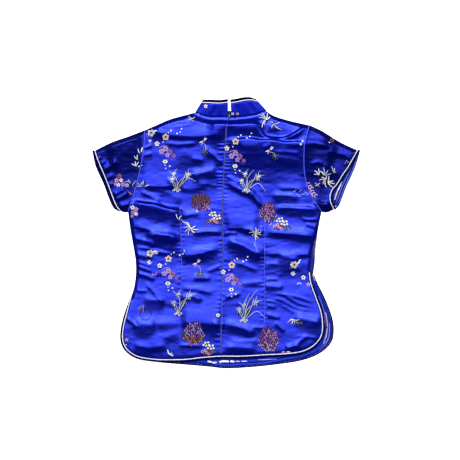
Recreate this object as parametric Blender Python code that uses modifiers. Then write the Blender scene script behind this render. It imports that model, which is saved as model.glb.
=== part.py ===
"""Short-sleeved satin ao dai top with a stand collar and a centre-back zip, laid flat with its back up.

The garment lies in the XY plane with its collar towards +Y, its front on the floor at Z = 0
and its back uppermost. Left and right are the wearer's. Every piece of cloth is a thin wall:
the front is a flat sheet, the two back halves ride over it in folds, each sleeve is a flattened
tube, and each half of the collar is a band folded round the side of the neck.
"""

import math
from collections import namedtuple

import bmesh
import bpy
import numpy as np
from mathutils import Vector
from mathutils.geometry import delaunay_2d_cdt

MM = 0.001

# Driving dimensions, in millimetres
CLOTH = 1.2               # thickness of every cloth wall
SEAM_GAP = 0.3            # clearance between two pieces that are sewn together
SEAM_LEVEL = 1.5          # underside of the back where a seam ties it down to the front
REST_LEVEL = 2.9          # lowest underside of the back where it lies on the front
LOFT = 1.6                # more air between back and front in the middle of the body
FOLD_LINE_LEVEL = 2.1     # underside of a sleeve's upper wall beside its folded edges
EDGE_RISE = 11.0          # distance in which the back climbs from a sewn edge
HEM_FALL = 24.0           # distance in which it sinks towards a free edge
PIPING_RADIUS = 0.8       # white cord along the back's hem and the collar
CUFF_PIPING_RADIUS = 0.65
FLAT_PIPING_RADIUS = 0.6  # the same cord pressed flat under the front's hem
BINDING_WIDTH = 4.6       # satin binding outside the cord
COLLAR_BINDING_WIDTH = 4.8
FRONT_BINDING_WIDTH = 3.0
FACING = 1.0              # thickness of both facings
FACING_WIDTH = 15.0       # bias strip on the inside of the front's hem
FACING_LEVEL = 1.5        # underside of that strip
FACING_START = 14.0       # where it begins below the tops of the slits
CUFF_FACING_WIDTH = 12.5
CUFF_FACING_LEVEL = 1.6
LIP_RISE = 2.2            # height of the front's lip outside the right side seam
COLLAR_ARCH = 3.2         # how far the back of the collar stands off the floor
ZIP_GAP = 2.8             # opening between the halves of the back along the zip
ZIP_END = 62.0            # height on the back at which the zip stops
ZIP_CHAIN_WIDTH = 1.8
ZIP_CHAIN_THICKNESS = 1.0

# Zip slider and pull, in millimetres
PIN_PLACE = (8.4, 266.5, 7.6)  # the pin that the pull swings on
SLIDER_TURN = math.radians(14)  # the slider stands askew in the collar's opening
SLIDER_SIZE = (4.6, 8.0, 1.8)
PIN_LIFT = 1.75           # height of the pin over the slider's body
PIN_RADIUS = 0.5
LUG_THICKNESS = 0.8
EYE_RADIUS = 1.3
EYE_BORE = 0.8
EYE_LENGTH = 2.2
PULL_LENGTH = 13.5
PULL_WIDTH = 3.8
PULL_THICKNESS = 0.9
PULL_TILT = math.radians(9)  # the tab lies down towards the cloth

# Fineness of the meshes, in millimetres where it is a distance
SHEET_STEP = 13.0         # spacing of the points on the folded back
FLAT_STEP = 28.0          # spacing of the points on the flat front
ROW_SHARE = 0.87          # spacing of a grid's rows as a share of that within a row
EDGE_STEP = 14.0          # spacing of the points along the edges
CENTRE_STEP = 4.7         # and along the centre-back seam
FEATURE_CLEARANCE = 1.4   # least distance of a gather's point from an edge
CORD_RESOLUTION = 1       # bevel resolution of the piping
FOLD_POINTS = 3           # points round a folded edge
SLEEVE_ROWS = 9
FACING_SECTIONS = 12
COLLAR_SHARES = (0.0, 0.35, 0.7, 1.0)
PIPED_FOLD = 2.6          # least height of the cuff's cord on the upper wall

Point = namedtuple("Point", "x y")

# Edges of the garment as it lies, in millimetres. Each is a smooth curve through its points,
# listed from the neck towards the hem or from the armhole towards the cuff.
CENTRE_BACK = [Point(9, 256), Point(3, 241), Point(0, 205), Point(-3, 161), Point(-6, 95),
               Point(-7, 18), Point(-6, -37), Point(-9, -147), Point(-11, -270)]
NECK_LEFT = [Point(5, 256), Point(-9, 257), Point(-33, 257), Point(-49, 260), Point(-65, 267)]
NECK_RIGHT = [Point(13, 256), Point(31, 257), Point(48, 259), Point(69, 263), Point(88, 270)]
FRONT_NECK_LEFT = [Point(-65, 267), Point(-61, 238), Point(-44, 208), Point(-18, 190), Point(8, 185)]
FRONT_NECK_RIGHT = [Point(88, 270), Point(83, 240), Point(62, 209), Point(36, 190), Point(8, 185)]
SHOULDER_LEFT = [Point(-65, 267), Point(-87, 261), Point(-123, 251), Point(-149, 240), Point(-178, 227)]
SHOULDER_RIGHT = [Point(88, 270), Point(106, 259), Point(141, 248), Point(184, 238)]
ARMHOLE_LEFT = [Point(-178, 227), Point(-180, 190), Point(-186, 154), Point(-194, 115),
                Point(-203, 84), Point(-215, 47)]
ARMHOLE_RIGHT = [Point(184, 238), Point(174, 203), Point(172, 172), Point(173, 138),
                 Point(179, 106), Point(190, 80), Point(211, 48)]
SIDE_LEFT = [Point(-215, 47), Point(-209, 3), Point(-203, -30), Point(-198, -63), Point(-198, -92),
             Point(-202, -120), Point(-209, -142)]
SIDE_RIGHT = [Point(211, 48), Point(205, 18), Point(200, -15), Point(197, -41), Point(196, -63),
              Point(193, -86)]
# The right side seam has rolled onto the back, so the front shows outside it as a lip.
ROLLED_SEAM_RIGHT = [Point(211, 48), Point(204, 18), Point(197, -10), Point(189, -35),
                     Point(186, -60), Point(184, -86)]
BACK_HEM_LEFT = [Point(-209, -142), Point(-218, -177), Point(-225, -206), Point(-227, -227),
                 Point(-225, -241), Point(-218, -254), Point(-205, -265), Point(-189, -272),
                 Point(-156, -277), Point(-121, -278), Point(-87, -277), Point(-52, -273),
                 Point(-11, -270)]
BACK_HEM_RIGHT = [Point(-11, -270), Point(35, -270), Point(88, -267), Point(140, -264),
                  Point(169, -259), Point(190, -249), Point(206, -233), Point(212, -218),
                  Point(213, -201), Point(210, -175), Point(201, -148), Point(192, -124),
                  Point(186, -103), Point(184, -86)]
FRONT_HEM = [Point(-205, -150), Point(-221, -200), Point(-225, -226), Point(-221, -246),
             Point(-204, -264), Point(-181, -274), Point(-145, -280), Point(-112, -283),
             Point(-40, -289), Point(-1, -293), Point(47, -291), Point(107, -285), Point(165, -276),
             Point(199, -264), Point(220, -249), Point(231, -234), Point(234, -218),
             Point(233, -196), Point(226, -171), Point(214, -142), Point(202, -116), Point(193, -92)]
COLLAR_TOP_LEFT = [Point(2.6, 288), Point(-13, 286), Point(-38, 287), Point(-52, 287.5)]
COLLAR_TOP_RIGHT = [Point(12, 286.5), Point(26, 289), Point(40, 292), Point(58, 293), Point(69, 290.5)]
FRONT_COLLAR_TOP_LEFT = [Point(-52, 287.5), Point(-36, 258), Point(-18, 236), Point(3, 226)]
FRONT_COLLAR_TOP_RIGHT = [Point(69, 290.5), Point(56, 258), Point(36, 236), Point(13, 226)]
SLEEVE_TOP_LEFT = [Point(-178, 227), Point(-211, 214), Point(-246, 202), Point(-268, 192),
                   Point(-287, 182)]
SLEEVE_TOP_RIGHT = [Point(184, 238), Point(212, 225), Point(247, 203), Point(265, 194),
                    Point(289, 183)]
SLEEVE_FOOT_LEFT = [Point(-215, 47), Point(-222, 47), Point(-230, 49)]
SLEEVE_FOOT_RIGHT = [Point(211, 48), Point(223, 47), Point(237, 53)]
CUFF_UPPER_LEFT = [Point(-287, 182), Point(-278, 156), Point(-268, 133), Point(-259, 111),
                   Point(-249, 84), Point(-240, 62), Point(-230, 49)]
CUFF_LOWER_LEFT = [Point(-287, 182), Point(-281, 152), Point(-272, 131), Point(-262, 109),
                   Point(-253, 84), Point(-243, 62), Point(-230, 49)]
CUFF_UPPER_RIGHT = [Point(289, 183), Point(280, 167), Point(268, 146), Point(256, 129),
                    Point(244, 109), Point(234, 97), Point(229, 84), Point(230, 69), Point(237, 53)]
CUFF_LOWER_RIGHT = [Point(289, 183), Point(283, 160), Point(277, 143), Point(268, 123),
                    Point(260, 106), Point(254, 90), Point(249, 77), Point(244, 65), Point(237, 53)]
DART_LEFT = [Point(-102, 62), Point(-98, -26), Point(-98, -114), Point(-102, -191)]
DART_RIGHT = [Point(88, 36), Point(85, 18), Point(85, -37), Point(86, -147), Point(84, -208)]

# Largest folds of the back and the upper sleeves: ends, half width, height (a trough is
# negative) and bow, how far the middle of the fold bends to its left side
Fold = namedtuple("Fold", "x1 y1 x2 y2 half_width height bow")
FOLDS = [
    # left shoulder blade
    Fold(-164, 225, -128, 219, 9, 2.2, 0),
    Fold(-152, 219, 4, 218, 17, 2.7, -1),
    Fold(-34, 237, 12, 234, 18, 3.9, -1),
    Fold(-140, 198, -60, 199, 5.5, 1.2, -3),
    Fold(-182, 186, -160, 196, 5.5, 1.1, -1),
    Fold(-54, 191, -2, 151, 6, 1.4, 2),
    Fold(-80, 124, -16, 138, 12.5, 2.9, 1),
    Fold(-134, 117, -96, 115, 7.5, 1.1, 0),
    Fold(-182, 109, -98, 107, 12, 1.3, 0),
    Fold(-188, 97, -150, 94, 6.5, 1.9, 1),
    Fold(-186, 85, -146, 72, 7, 2, 1),
    Fold(-146, 90, -103, 78, 10, 1.5, 2),
    Fold(-197, 61, -99, 40, 16.5, 3.9, 1),
    # right shoulder, with the deep swag under the yoke
    Fold(-7, 237, 77, 230, 17, 4.8, 1),
    Fold(64, 236, 188, 237, 6, 3.7, -29),
    Fold(87, 237, 121, 227, 10.5, 1.4, 0),
    Fold(132, 203, 232, 197, 12.2, 3.2, 4),
    Fold(10, 194, 186, 187, 22, 4.8, 2),
    # the long pull across the right half
    Fold(-4, 114, 92, 51, 8.5, 2.7, 8),
    Fold(-1, 124, 35, 108, 8, 1.5, 1),
    Fold(24, 97, 68, 87, 6.5, 1.4, 3),
    # right ribs
    Fold(112, 99, 172, 95, 7, 1.2, 2),
    Fold(98, 81, 168, 77, 10.5, 2.2, 2),
    Fold(114, 53, 203, 51, 7.5, 1.9, 3),
    # waist, left
    Fold(-207, 20, -105, 0, 10, 2.2, -4),
    Fold(-180, -5, -97, -13, 14.5, 4.2, 0),
    Fold(-206, -9, -150, -27, 5.5, 1.5, 1),
    Fold(-202, -47, -158, -53, 7, 1.6, 0),
    Fold(-199, -70, -160, -85, 5.5, 1.2, 1),
    Fold(-200, -85, -152, -101, 5.5, 1.6, 1),
    Fold(-179, -106, -134, -157, 5.5, 1.2, 0),
    Fold(-184, -146, -130, -154, 12, 1.6, 1),
    # waist, middle
    Fold(-76, -2, -4, 3, 6, 1.9, 3),
    Fold(-102, -52, -8, -34, 13, 3.1, -1),
    Fold(-74, -95, -30, -99, 8, 1.1, 0),
    Fold(-102, -118, -18, -131, 7, 1.3, 0),
    Fold(-102, -148, -48, -150, 8, 2.5, 11),
    # waist, right
    Fold(-6, 2, 28, 0, 5.5, 1.4, 1),
    Fold(34, 6, 90, 4, 7, 1.6, 0),
    Fold(82, 4, 206, -7, 11.5, 3.2, 2),
    Fold(-4, -14, 92, -48, 13, 4.1, 0),
    Fold(82, -43, 198, -47, 8, 1.5, 0),
    Fold(110, -56, 166, -62, 16, 2.9, 1),
    Fold(82, -116, 130, -120, 6.5, 2.2, 1),
    Fold(-4, -143, 38, -130, 5.5, 1.1, 0),
    # tails
    Fold(-221, -182, -192, -208, 5.5, 1.4, 0),
    Fold(-206, -203, -146, -205, 22.5, 3.6, -1),
    Fold(-156, -200, -98, -199, 12, 1.4, 1),
    Fold(-150, -234, -104, -220, 8.5, 1.7, 0),
    Fold(-208, -245, -126, -246, 9.5, 2.2, -6),
    Fold(-60, -197, -20, -202, 13, 2.9, 0),
    Fold(-34, -198, 4, -200, 8.5, 1.7, -1),
    Fold(-8, -200, 66, -228, 12, 3.3, 8),
    Fold(6, -234, 74, -237, 7, 1.2, -2),
    Fold(-8, -249, 70, -256, 11, 2.7, 1),
    Fold(88, -178, 122, -187, 5.5, 1.4, 0),
    Fold(106, -194, 132, -216, 5.5, 1.2, 0),
    Fold(146, -189, 214, -200, 11.5, 3.4, 4),
    Fold(142, -250, 184, -223, 5.5, 1.5, 0),
    Fold(128, -251, 166, -248, 8, 2, 0),
    # left sleeve, with the gathers at its cuff
    Fold(-246, 193, -200, 208, 10, 1.7, 0),
    Fold(-286, 161, -275, 168, 5.5, 1.2, 0),
    Fold(-276, 152, -263, 161, 5.5, 1.4, 0),
    Fold(-274, 136, -236, 160, 5.5, 2, 1),
    Fold(-264, 117, -244, 129, 5.5, 1.5, 0),
    Fold(-257, 104, -244, 111, 5.5, 1.1, 0),
    Fold(-249, 83, -220, 99, 5.5, 1.7, 0),
    Fold(-244, 71, -212, 91, 5.5, 1.7, 0),
    Fold(-236, 58, -202, 67, 5.5, 1.7, 1),
    # right sleeve
    Fold(221, 182, 285, 160, 10.5, 2, 5),
    Fold(186, 150, 214, 150, 5.5, 1.2, 7),
    Fold(206, 64, 229, 66, 5.5, 1.5, 1),
]

# Gathers that the stitching draws up beside a seam: where they start and stop down the seam,
# their pitch, how far they reach into the cloth on each side, their height, and the distances
# from the seam at which the mesh follows them
Gather = namedtuple("Gather", "seam top bottom pitch reach height ranks")
GATHERS = [
    Gather(CENTRE_BACK, 208, 62, 9.4, 14, 1.6, (4.0, 9.5)),
    Gather(CENTRE_BACK, 62, -262, 14.1, 10, 0.8, (4.0,)),
    Gather(DART_LEFT, 56, -186, 13.4, 11, 1.1, (4.5,)),
    Gather(DART_RIGHT, 30, -200, 13.2, 12, 1.1, (4.5,)),
]

# name: colour, roughness, metallic
FINISHES = {
    "satin": ((0.02, 0.03, 0.55, 1.0), 0.35, 0.0),
    "binding": ((0.012, 0.016, 0.33, 1.0), 0.4, 0.0),
    "piping": ((0.86, 0.87, 0.92, 1.0), 0.45, 0.0),
    "zip_tape": ((0.01, 0.012, 0.10, 1.0), 0.6, 0.0),
    "zip_metal": ((0.015, 0.016, 0.06, 1.0), 0.35, 0.6),
}


def clear_scene():
    for old in list(bpy.data.objects):
        bpy.data.objects.remove(old)


def material(name):
    if name in bpy.data.materials:
        return bpy.data.materials[name]
    made = bpy.data.materials.new(name)
    made.use_nodes = True
    colour, roughness, metallic = FINISHES[name]
    shader = made.node_tree.nodes["Principled BSDF"]
    shader.inputs["Base Color"].default_value = colour
    shader.inputs["Roughness"].default_value = roughness
    shader.inputs["Metallic"].default_value = metallic
    return made


def new_object(name, data, finish, collection):
    made = bpy.data.objects.new(name, data)
    data.materials.append(material(finish))
    collection.objects.link(made)
    return made


# Curves in the plane

def smooth_path(points, step=EDGE_STEP):
    """Samples a centripetal spline through the points, about a step apart, keeping every point."""
    ends = [np.array(p, float) for p in points]
    chain = [2 * ends[0] - ends[1], *ends, 2 * ends[-1] - ends[-2]]
    samples = [ends[0]]
    for before, start, end, after in zip(chain, chain[1:], chain[2:], chain[3:]):
        knots = [0.0]
        for a, b in ((before, start), (start, end), (end, after)):
            knots.append(knots[-1] + math.sqrt(np.linalg.norm(b - a)))
        pieces = max(1, round(np.linalg.norm(end - start) / step))
        for k in range(1, pieces + 1):
            t = knots[1] + (knots[2] - knots[1]) * k / pieces
            near = [
                a + (b - a) * (t - knots[i]) / (knots[i + 1] - knots[i])
                for i, (a, b) in enumerate(((before, start), (start, end), (end, after)))
            ]
            mid = [
                near[i] + (near[i + 1] - near[i]) * (t - knots[i]) / (knots[i + 2] - knots[i])
                for i in range(2)
            ]
            samples.append(mid[0] + (mid[1] - mid[0]) * (t - knots[1]) / (knots[2] - knots[1]))
    return np.array(samples)


def evenly(path, count):
    """The path again, as this many points an equal length apart."""
    lengths = np.concatenate([[0], np.cumsum(np.linalg.norm(np.diff(path, axis=0), axis=1))])
    wanted = np.linspace(0, lengths[-1], count)
    return np.stack([np.interp(wanted, lengths, path[:, k]) for k in range(path.shape[1])], axis=1)


def left_normals(path):
    """Unit vectors to the left of the path's direction at each of its points."""
    ahead = np.gradient(path[:, :2], axis=0)
    ahead /= np.linalg.norm(ahead, axis=1)[:, None]
    return np.stack([-ahead[:, 1], ahead[:, 0]], axis=1)


def shifted(path, distance):
    """The path moved to its left by a distance, or by one distance for each point."""
    return path + left_normals(path) * np.reshape(distance, (-1, 1))


def distance_to(points, path):
    """Shortest distance from each point to a path."""
    nearest = np.full(len(points), np.inf)
    for start, end in zip(path[:-1], path[1:]):
        along = end - start
        t = np.clip((points - start) @ along / max(along @ along, 1e-9), 0, 1)
        gap = points - (start + t[:, None] * along)
        nearest = np.minimum(nearest, np.linalg.norm(gap, axis=1))
    return nearest


def inside(points, outline):
    """Which points lie within a closed outline."""
    within = np.zeros(len(points), bool)
    x, y = points[:, 0], points[:, 1]
    for (x1, y1), (x2, y2) in zip(outline, np.roll(outline, -1, axis=0)):
        if y1 != y2:
            crosses = (y1 > y) != (y2 > y)
            within ^= crosses & (x < x1 + (y - y1) * (x2 - x1) / (y2 - y1))
    return within


def smoothstep(t):
    t = np.clip(t, 0, 1)
    return t * t * (3 - 2 * t)


# Height of the upper layer

SEWN_EDGES = [
    smooth_path(SHOULDER_LEFT), smooth_path(SLEEVE_TOP_LEFT), smooth_path(SLEEVE_FOOT_LEFT),
    smooth_path(SIDE_LEFT), smooth_path(SHOULDER_RIGHT), smooth_path(SLEEVE_TOP_RIGHT),
    smooth_path(SLEEVE_FOOT_RIGHT), smooth_path(ROLLED_SEAM_RIGHT),
]
NECKLINE = np.concatenate([smooth_path(NECK_LEFT)[::-1], smooth_path(NECK_RIGHT)])
BACK_HEM = np.concatenate([smooth_path(BACK_HEM_LEFT), smooth_path(BACK_HEM_RIGHT)])


def fold_height(points, fold):
    """A soft ridge or trough that bows between two ends and fades at both."""
    start = np.array([fold.x1, fold.y1], float)
    along = np.array([fold.x2, fold.y2], float) - start
    length = np.linalg.norm(along)
    along /= length
    away = points - start
    t = away @ along / length
    side = away @ np.array([-along[1], along[0]])
    middle = fold.bow * 4 * t * (1 - t)
    ends = smoothstep(t / 0.3) * smoothstep((1 - t) / 0.3)
    return fold.height * ends * np.exp(-(((side - middle) / fold.half_width) ** 2))


def gather_height(points, gather):
    """Short waves across a seam, out of step on its two sides and stronger in some places."""
    seam = smooth_path(gather.seam)
    across = points[:, 0] - np.interp(-points[:, 1], -seam[:, 1], seam[:, 0])
    down = gather.top - points[:, 1]
    length = gather.top - gather.bottom
    step = np.where(across < 0, 0.0, math.pi)
    waves = 0.5 + 0.5 * np.cos(2 * math.pi * down / gather.pitch + step)
    uneven = 0.7 + 0.3 * np.sin(0.093 * down + 0.7 * step)
    ends = smoothstep(down / 14) * smoothstep((length - down) / 14)
    reach = np.exp(-((across / gather.reach) ** 2)) * (0.2 + 0.8 * smoothstep(np.abs(across) / 5))
    return gather.height * ends * uneven * reach * waves


def upper_height(points):
    """Underside of the back and of the upper sleeve walls at each point of the plane."""
    points = np.asarray(points, float)[:, :2]
    to_edge = np.min([distance_to(points, edge) for edge in SEWN_EDGES], axis=0)
    to_hem = distance_to(points, BACK_HEM)
    to_neck = distance_to(points, NECKLINE)
    level = SEAM_LEVEL + (REST_LEVEL - SEAM_LEVEL) * smoothstep(to_edge / 8.0)
    folds = LOFT + sum(fold_height(points, fold) for fold in FOLDS)
    folds = 0.5 * (folds + np.sqrt(folds ** 2 + 0.5))
    folds *= smoothstep((to_neck - 2.0) / 26.0) * (0.2 + 0.8 * smoothstep(to_hem / HEM_FALL))
    gathers = sum(gather_height(points, gather) for gather in GATHERS)
    return level + (folds + gathers) * smoothstep(to_edge / EDGE_RISE)


# Cloth

def mesh_object(name, points, faces, finish, collection):
    data = bpy.data.meshes.new(name)
    data.from_pydata([Vector(p) * MM for p in points], [], faces)
    shape = bmesh.new()
    shape.from_mesh(data)
    bmesh.ops.recalc_face_normals(shape, faces=shape.faces)
    if sum(face.normal.z * face.calc_area() for face in shape.faces) < 0:
        bmesh.ops.reverse_faces(shape, faces=shape.faces)
    shape.to_mesh(data)
    shape.free()
    data.shade_smooth()
    return new_object(name, data, finish, collection)


def thicken(sheet, thickness, offset):
    wall = sheet.modifiers.new("Cloth", "SOLIDIFY")
    wall.thickness = thickness * MM
    wall.offset = offset


def staggered_grid(outline, step):
    """Rows of points over an outline's box, every second row moved by half a step."""
    low, high = outline.min(axis=0), outline.max(axis=0)
    return np.array([
        (x + step / 2 * (k % 2), y)
        for k, y in enumerate(np.arange(low[1], high[1], step * ROW_SHARE))
        for x in np.arange(low[0], high[0], step)
    ])


def within_outline(points, outline, clearance):
    """The points that lie inside an outline and this far from its edge."""
    room = distance_to(points, np.concatenate([outline, outline[:1]]))
    return points[inside(points, outline) & (room > clearance)]


def panel(name, outline, height, step, features, collection):
    """A flat-cut piece of cloth whose underside stands on a height function."""
    inner = within_outline(staggered_grid(outline, step), outline, step * 0.45)
    features = within_outline(features, outline, FEATURE_CLEARANCE)
    crowded = np.min(np.linalg.norm(inner[:, None] - features[None], axis=2), axis=1)
    inner = np.concatenate([features, inner[crowded > step * 0.6]])
    flat = [Vector(p) for p in np.concatenate([outline, inner])]
    border = [(k, (k + 1) % len(outline)) for k in range(len(outline))]
    corners, _, faces, *_ = delaunay_2d_cdt(flat, border, [], 1, 1e-5)
    plane = np.array([corner[:] for corner in corners])
    cloth = mesh_object(name, np.column_stack([plane, height(plane)]), faces, "satin", collection)
    thicken(cloth, CLOTH, 1)


def loft(name, sections, finish, collection, thickness=CLOTH, ring=False):
    """Cloth through sections with equal numbers of points, which lie in the middle of its wall."""
    count = len(sections[0])
    faces = [
        (row * count + k, row * count + (k + 1) % count,
         (row + 1) * count + (k + 1) % count, (row + 1) * count + k)
        for row in range(len(sections) - 1)
        for k in range(count if ring else count - 1)
    ]
    points = [point for section in sections for point in section]
    thicken(mesh_object(name, points, faces, finish, collection), thickness, 0)


def cord(name, path, radius, collection, closed=False):
    """Round piping along a path."""
    line = bpy.data.curves.new(name, "CURVE")
    line.dimensions = "3D"
    line.bevel_depth = radius * MM
    line.bevel_resolution = CORD_RESOLUTION
    line.use_fill_caps = not closed
    spline = line.splines.new("POLY")
    spline.points.add(len(path) - 1)
    for point, place in zip(spline.points, path):
        point.co = (*(Vector(place) * MM), 1.0)
    spline.use_cyclic_u = closed
    new_object(name, line, "piping", collection)


def joined(*paths):
    """Paths one after another, with the points that they share kept once."""
    line = np.concatenate(paths)
    apart = np.linalg.norm(np.diff(line, axis=0), axis=1) > 0.2
    return line[np.concatenate([[True], apart])]


# Back and front

def zip_half_gap(y):
    """Half the opening of the centre-back seam, wide along the zip and closed below it."""
    closed = smoothstep((ZIP_END + 4.0 - y) / 10.0)
    return ZIP_GAP / 2 + (SEAM_GAP - ZIP_GAP) / 2 * closed


def x_on(path, y):
    """Where a path that runs down the garment crosses each height."""
    return np.interp(-np.asarray(y, float), -path[:, 1], path[:, 0])


def gather_points():
    """Points on the crests and in the troughs of every gather."""
    found = []
    for gather in GATHERS:
        seam = smooth_path(gather.seam)
        for y in np.arange(gather.top, gather.bottom, -gather.pitch / 2):
            x = x_on(seam, y)
            found += [(x + way * rank, y) for rank in gather.ranks for way in (-1, 1)]
            if gather.seam is not CENTRE_BACK:
                found.append((x, y))
    return np.array(found)


def back_half(name, side, neck, shoulder, armhole, seam, hem, collection):
    """One half of the back, from the zip to the side seam."""
    edge = PIPING_RADIUS + SEAM_GAP
    centre = smooth_path(CENTRE_BACK, CENTRE_STEP)
    centre[:, 0] += side * zip_half_gap(centre[:, 1])
    centre[-1, 1] += edge
    hem_edge = shifted(smooth_path(hem), edge)
    outline = joined(
        centre[::-1], smooth_path(neck)[1:], smooth_path(shoulder)[1:-1],
        shifted(smooth_path(armhole), -side * SEAM_GAP / 2), smooth_path(seam)[1:-1],
        hem_edge[:-1] if side < 0 else hem_edge[:0:-1],
    )
    features = gather_points()
    own_side = (features[:, 0] - x_on(smooth_path(CENTRE_BACK), features[:, 1])) * side > 0
    panel(name, outline, upper_height, SHEET_STEP, features[own_side], collection)


def lip_height(points):
    """The front is flat, but for the lip that rolls up outside the right side seam."""
    seam = smooth_path(ROLLED_SEAM_RIGHT)
    past = points[:, 0] - x_on(seam, points[:, 1])
    beside = (points[:, 1] < seam[0, 1]) & (points[:, 1] > seam[-1, 1]) & (past > 0)
    rise = smoothstep((past - 1.0) / 3.0) * smoothstep(distance_to(points, smooth_path(SIDE_RIGHT)) / 4.0)
    return np.where(beside, LIP_RISE * rise, 0.0)


def lip_points():
    """Points along the crest of the lip and at its foot."""
    outer, seam = smooth_path(SIDE_RIGHT), smooth_path(ROLLED_SEAM_RIGHT)
    wide = outer[outer[:, 0] - x_on(seam, outer[:, 1]) > 5.0]
    inner = x_on(seam, wide[:, 1])
    return np.concatenate([
        np.column_stack([inner + (wide[:, 0] - inner) * share, wide[:, 1]]) for share in (0.0, 0.5)
    ])


def clear_of_collar(shoulder):
    """The shoulder line, with its first point moved on from the corner where the collar starts."""
    line = smooth_path(shoulder)
    line[0] += (line[1] - line[0]) * 3 * SEAM_GAP / np.linalg.norm(line[1] - line[0])
    return line


def front_panel(collection):
    """The whole front, one sheet from the neck to the hem."""
    outline = joined(
        shifted(smooth_path(FRONT_NECK_LEFT), -SEAM_GAP)[:0:-1], clear_of_collar(SHOULDER_LEFT)[:-1],
        shifted(smooth_path(ARMHOLE_LEFT), SEAM_GAP / 2), smooth_path(SIDE_LEFT)[1:-1],
        shifted(smooth_path(FRONT_HEM), FLAT_PIPING_RADIUS + SEAM_GAP),
        smooth_path(SIDE_RIGHT)[-2:0:-1], shifted(smooth_path(ARMHOLE_RIGHT), -SEAM_GAP / 2)[::-1],
        clear_of_collar(SHOULDER_RIGHT)[-2::-1],
        shifted(smooth_path(FRONT_NECK_RIGHT), SEAM_GAP)[1:-1],
    )
    panel("front_panel", outline, lip_height, FLAT_STEP, lip_points(), collection)


# Hems

def back_hem(collection):
    """White cord round the back's free edge, with the binding outside it."""
    line = joined(smooth_path(BACK_HEM_LEFT), smooth_path(BACK_HEM_RIGHT))
    cord("hem_piping_back", at_height(line), PIPING_RADIUS, collection)
    inner = PIPING_RADIUS + SEAM_GAP
    width = BINDING_WIDTH * slit_taper(line)
    edges = [shifted(line, -inner), shifted(line, -inner - width)]
    loft("hem_binding_back", pairs(*map(at_height, edges)), "binding", collection)


def slit_taper(line):
    """How much of its width a strip has along a line, narrower at the tops of the two side slits."""
    lengths = np.concatenate([[0], np.cumsum(np.linalg.norm(np.diff(line, axis=0), axis=1))])
    from_slit = np.minimum(lengths, lengths[-1] - lengths)
    return 0.35 + 0.65 * smoothstep(from_slit / 45.0)


def at_height(line):
    """A line in the plane raised to the middle of the upper cloth's wall."""
    return np.column_stack([line, upper_height(line) + CLOTH / 2])


def at_level(line, level):
    return np.column_stack([line, np.full(len(line), level)])


def pairs(*lines):
    """Sections across a strip, from lines along it."""
    return [list(section) for section in zip(*lines)]


def front_hem(collection):
    """The front's piping, binding and the bias facing on its inside."""
    line = smooth_path(FRONT_HEM)
    cord("hem_piping_front", at_level(line, FLAT_PIPING_RADIUS), FLAT_PIPING_RADIUS, collection)
    inner = FLAT_PIPING_RADIUS + SEAM_GAP
    width = FRONT_BINDING_WIDTH * slit_taper(line)
    edges = [shifted(line, -inner), shifted(line, -inner - width)]
    loft("hem_binding_front", pairs(*(at_level(e, CLOTH / 2) for e in edges)), "binding", collection)
    lengths = np.concatenate([[0], np.cumsum(np.linalg.norm(np.diff(line, axis=0), axis=1))])
    clear = (lengths > FACING_START) & (lengths < lengths[-1] - FACING_START)
    edges = [shifted(line, -inner - width + 0.3), shifted(line, FACING_WIDTH - inner - width)]
    facing = pairs(*(at_level(e[clear], FACING_LEVEL + FACING / 2) for e in edges))
    loft("hem_facing_front", facing, "satin", collection, FACING)


# Sleeves

def fold_round(edge, outward, high, low):
    """Half a turn of cloth round a folded edge, from the upper wall to the lower one."""
    radius = (high - low) / 2
    outward = outward / np.linalg.norm(outward)
    turns = [math.pi * k / (FOLD_POINTS + 1) for k in range(1, FOLD_POINTS + 1)]
    return [
        (*(edge + outward * radius * math.sin(turn)), low + radius + radius * math.cos(turn))
        for turn in turns
    ]


def ring_of(upper, lower, low, least=FOLD_LINE_LEVEL + CLOTH / 2):
    """A flattened ring: along the upper wall, round the foot, back below, and round the top."""
    high = np.maximum(upper_height(upper) + CLOTH / 2, least)
    points = [(*p, z) for p, z in zip(upper, high)]
    points += fold_round(upper[-1], upper[-1] - upper[-2], high[-1], low)
    points += [(*p, low) for p in lower[::-1]]
    points += fold_round(upper[0], upper[0] - upper[1], high[0], low)[::-1]
    return points


def sleeve_walls(armhole, top, foot, cuff, side):
    """Lines from the shoulder fold to the foot fold of one wall, from the armhole to the cuff."""
    start = shifted(smooth_path(armhole), side * SEAM_GAP / 2)
    end = evenly(smooth_path(cuff), len(start))
    top_edge, foot_edge = evenly(smooth_path(top), SLEEVE_ROWS), evenly(smooth_path(foot), SLEEVE_ROWS)
    down = np.linspace(0, 1, len(start))[:, None]
    lines = []
    for row, t in enumerate(np.linspace(0, 1, SLEEVE_ROWS)):
        line = start + (end - start) * t
        if row:
            line = line + (top_edge[row] - line[0]) * (1 - down) + (foot_edge[row] - line[-1]) * down
        lines.append(line)
    return lines


def carried_on(lines, distance):
    """The last line moved on along the sleeve, until its cuff edge lies this much further out."""
    last, along = lines[-1], lines[-1] - lines[-2]
    along = along / np.linalg.norm(along, axis=1)[:, None]
    square = np.abs(np.sum(along * left_normals(last), axis=1))
    return last + along * (distance / np.maximum(square, 0.6))[:, None]


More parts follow.
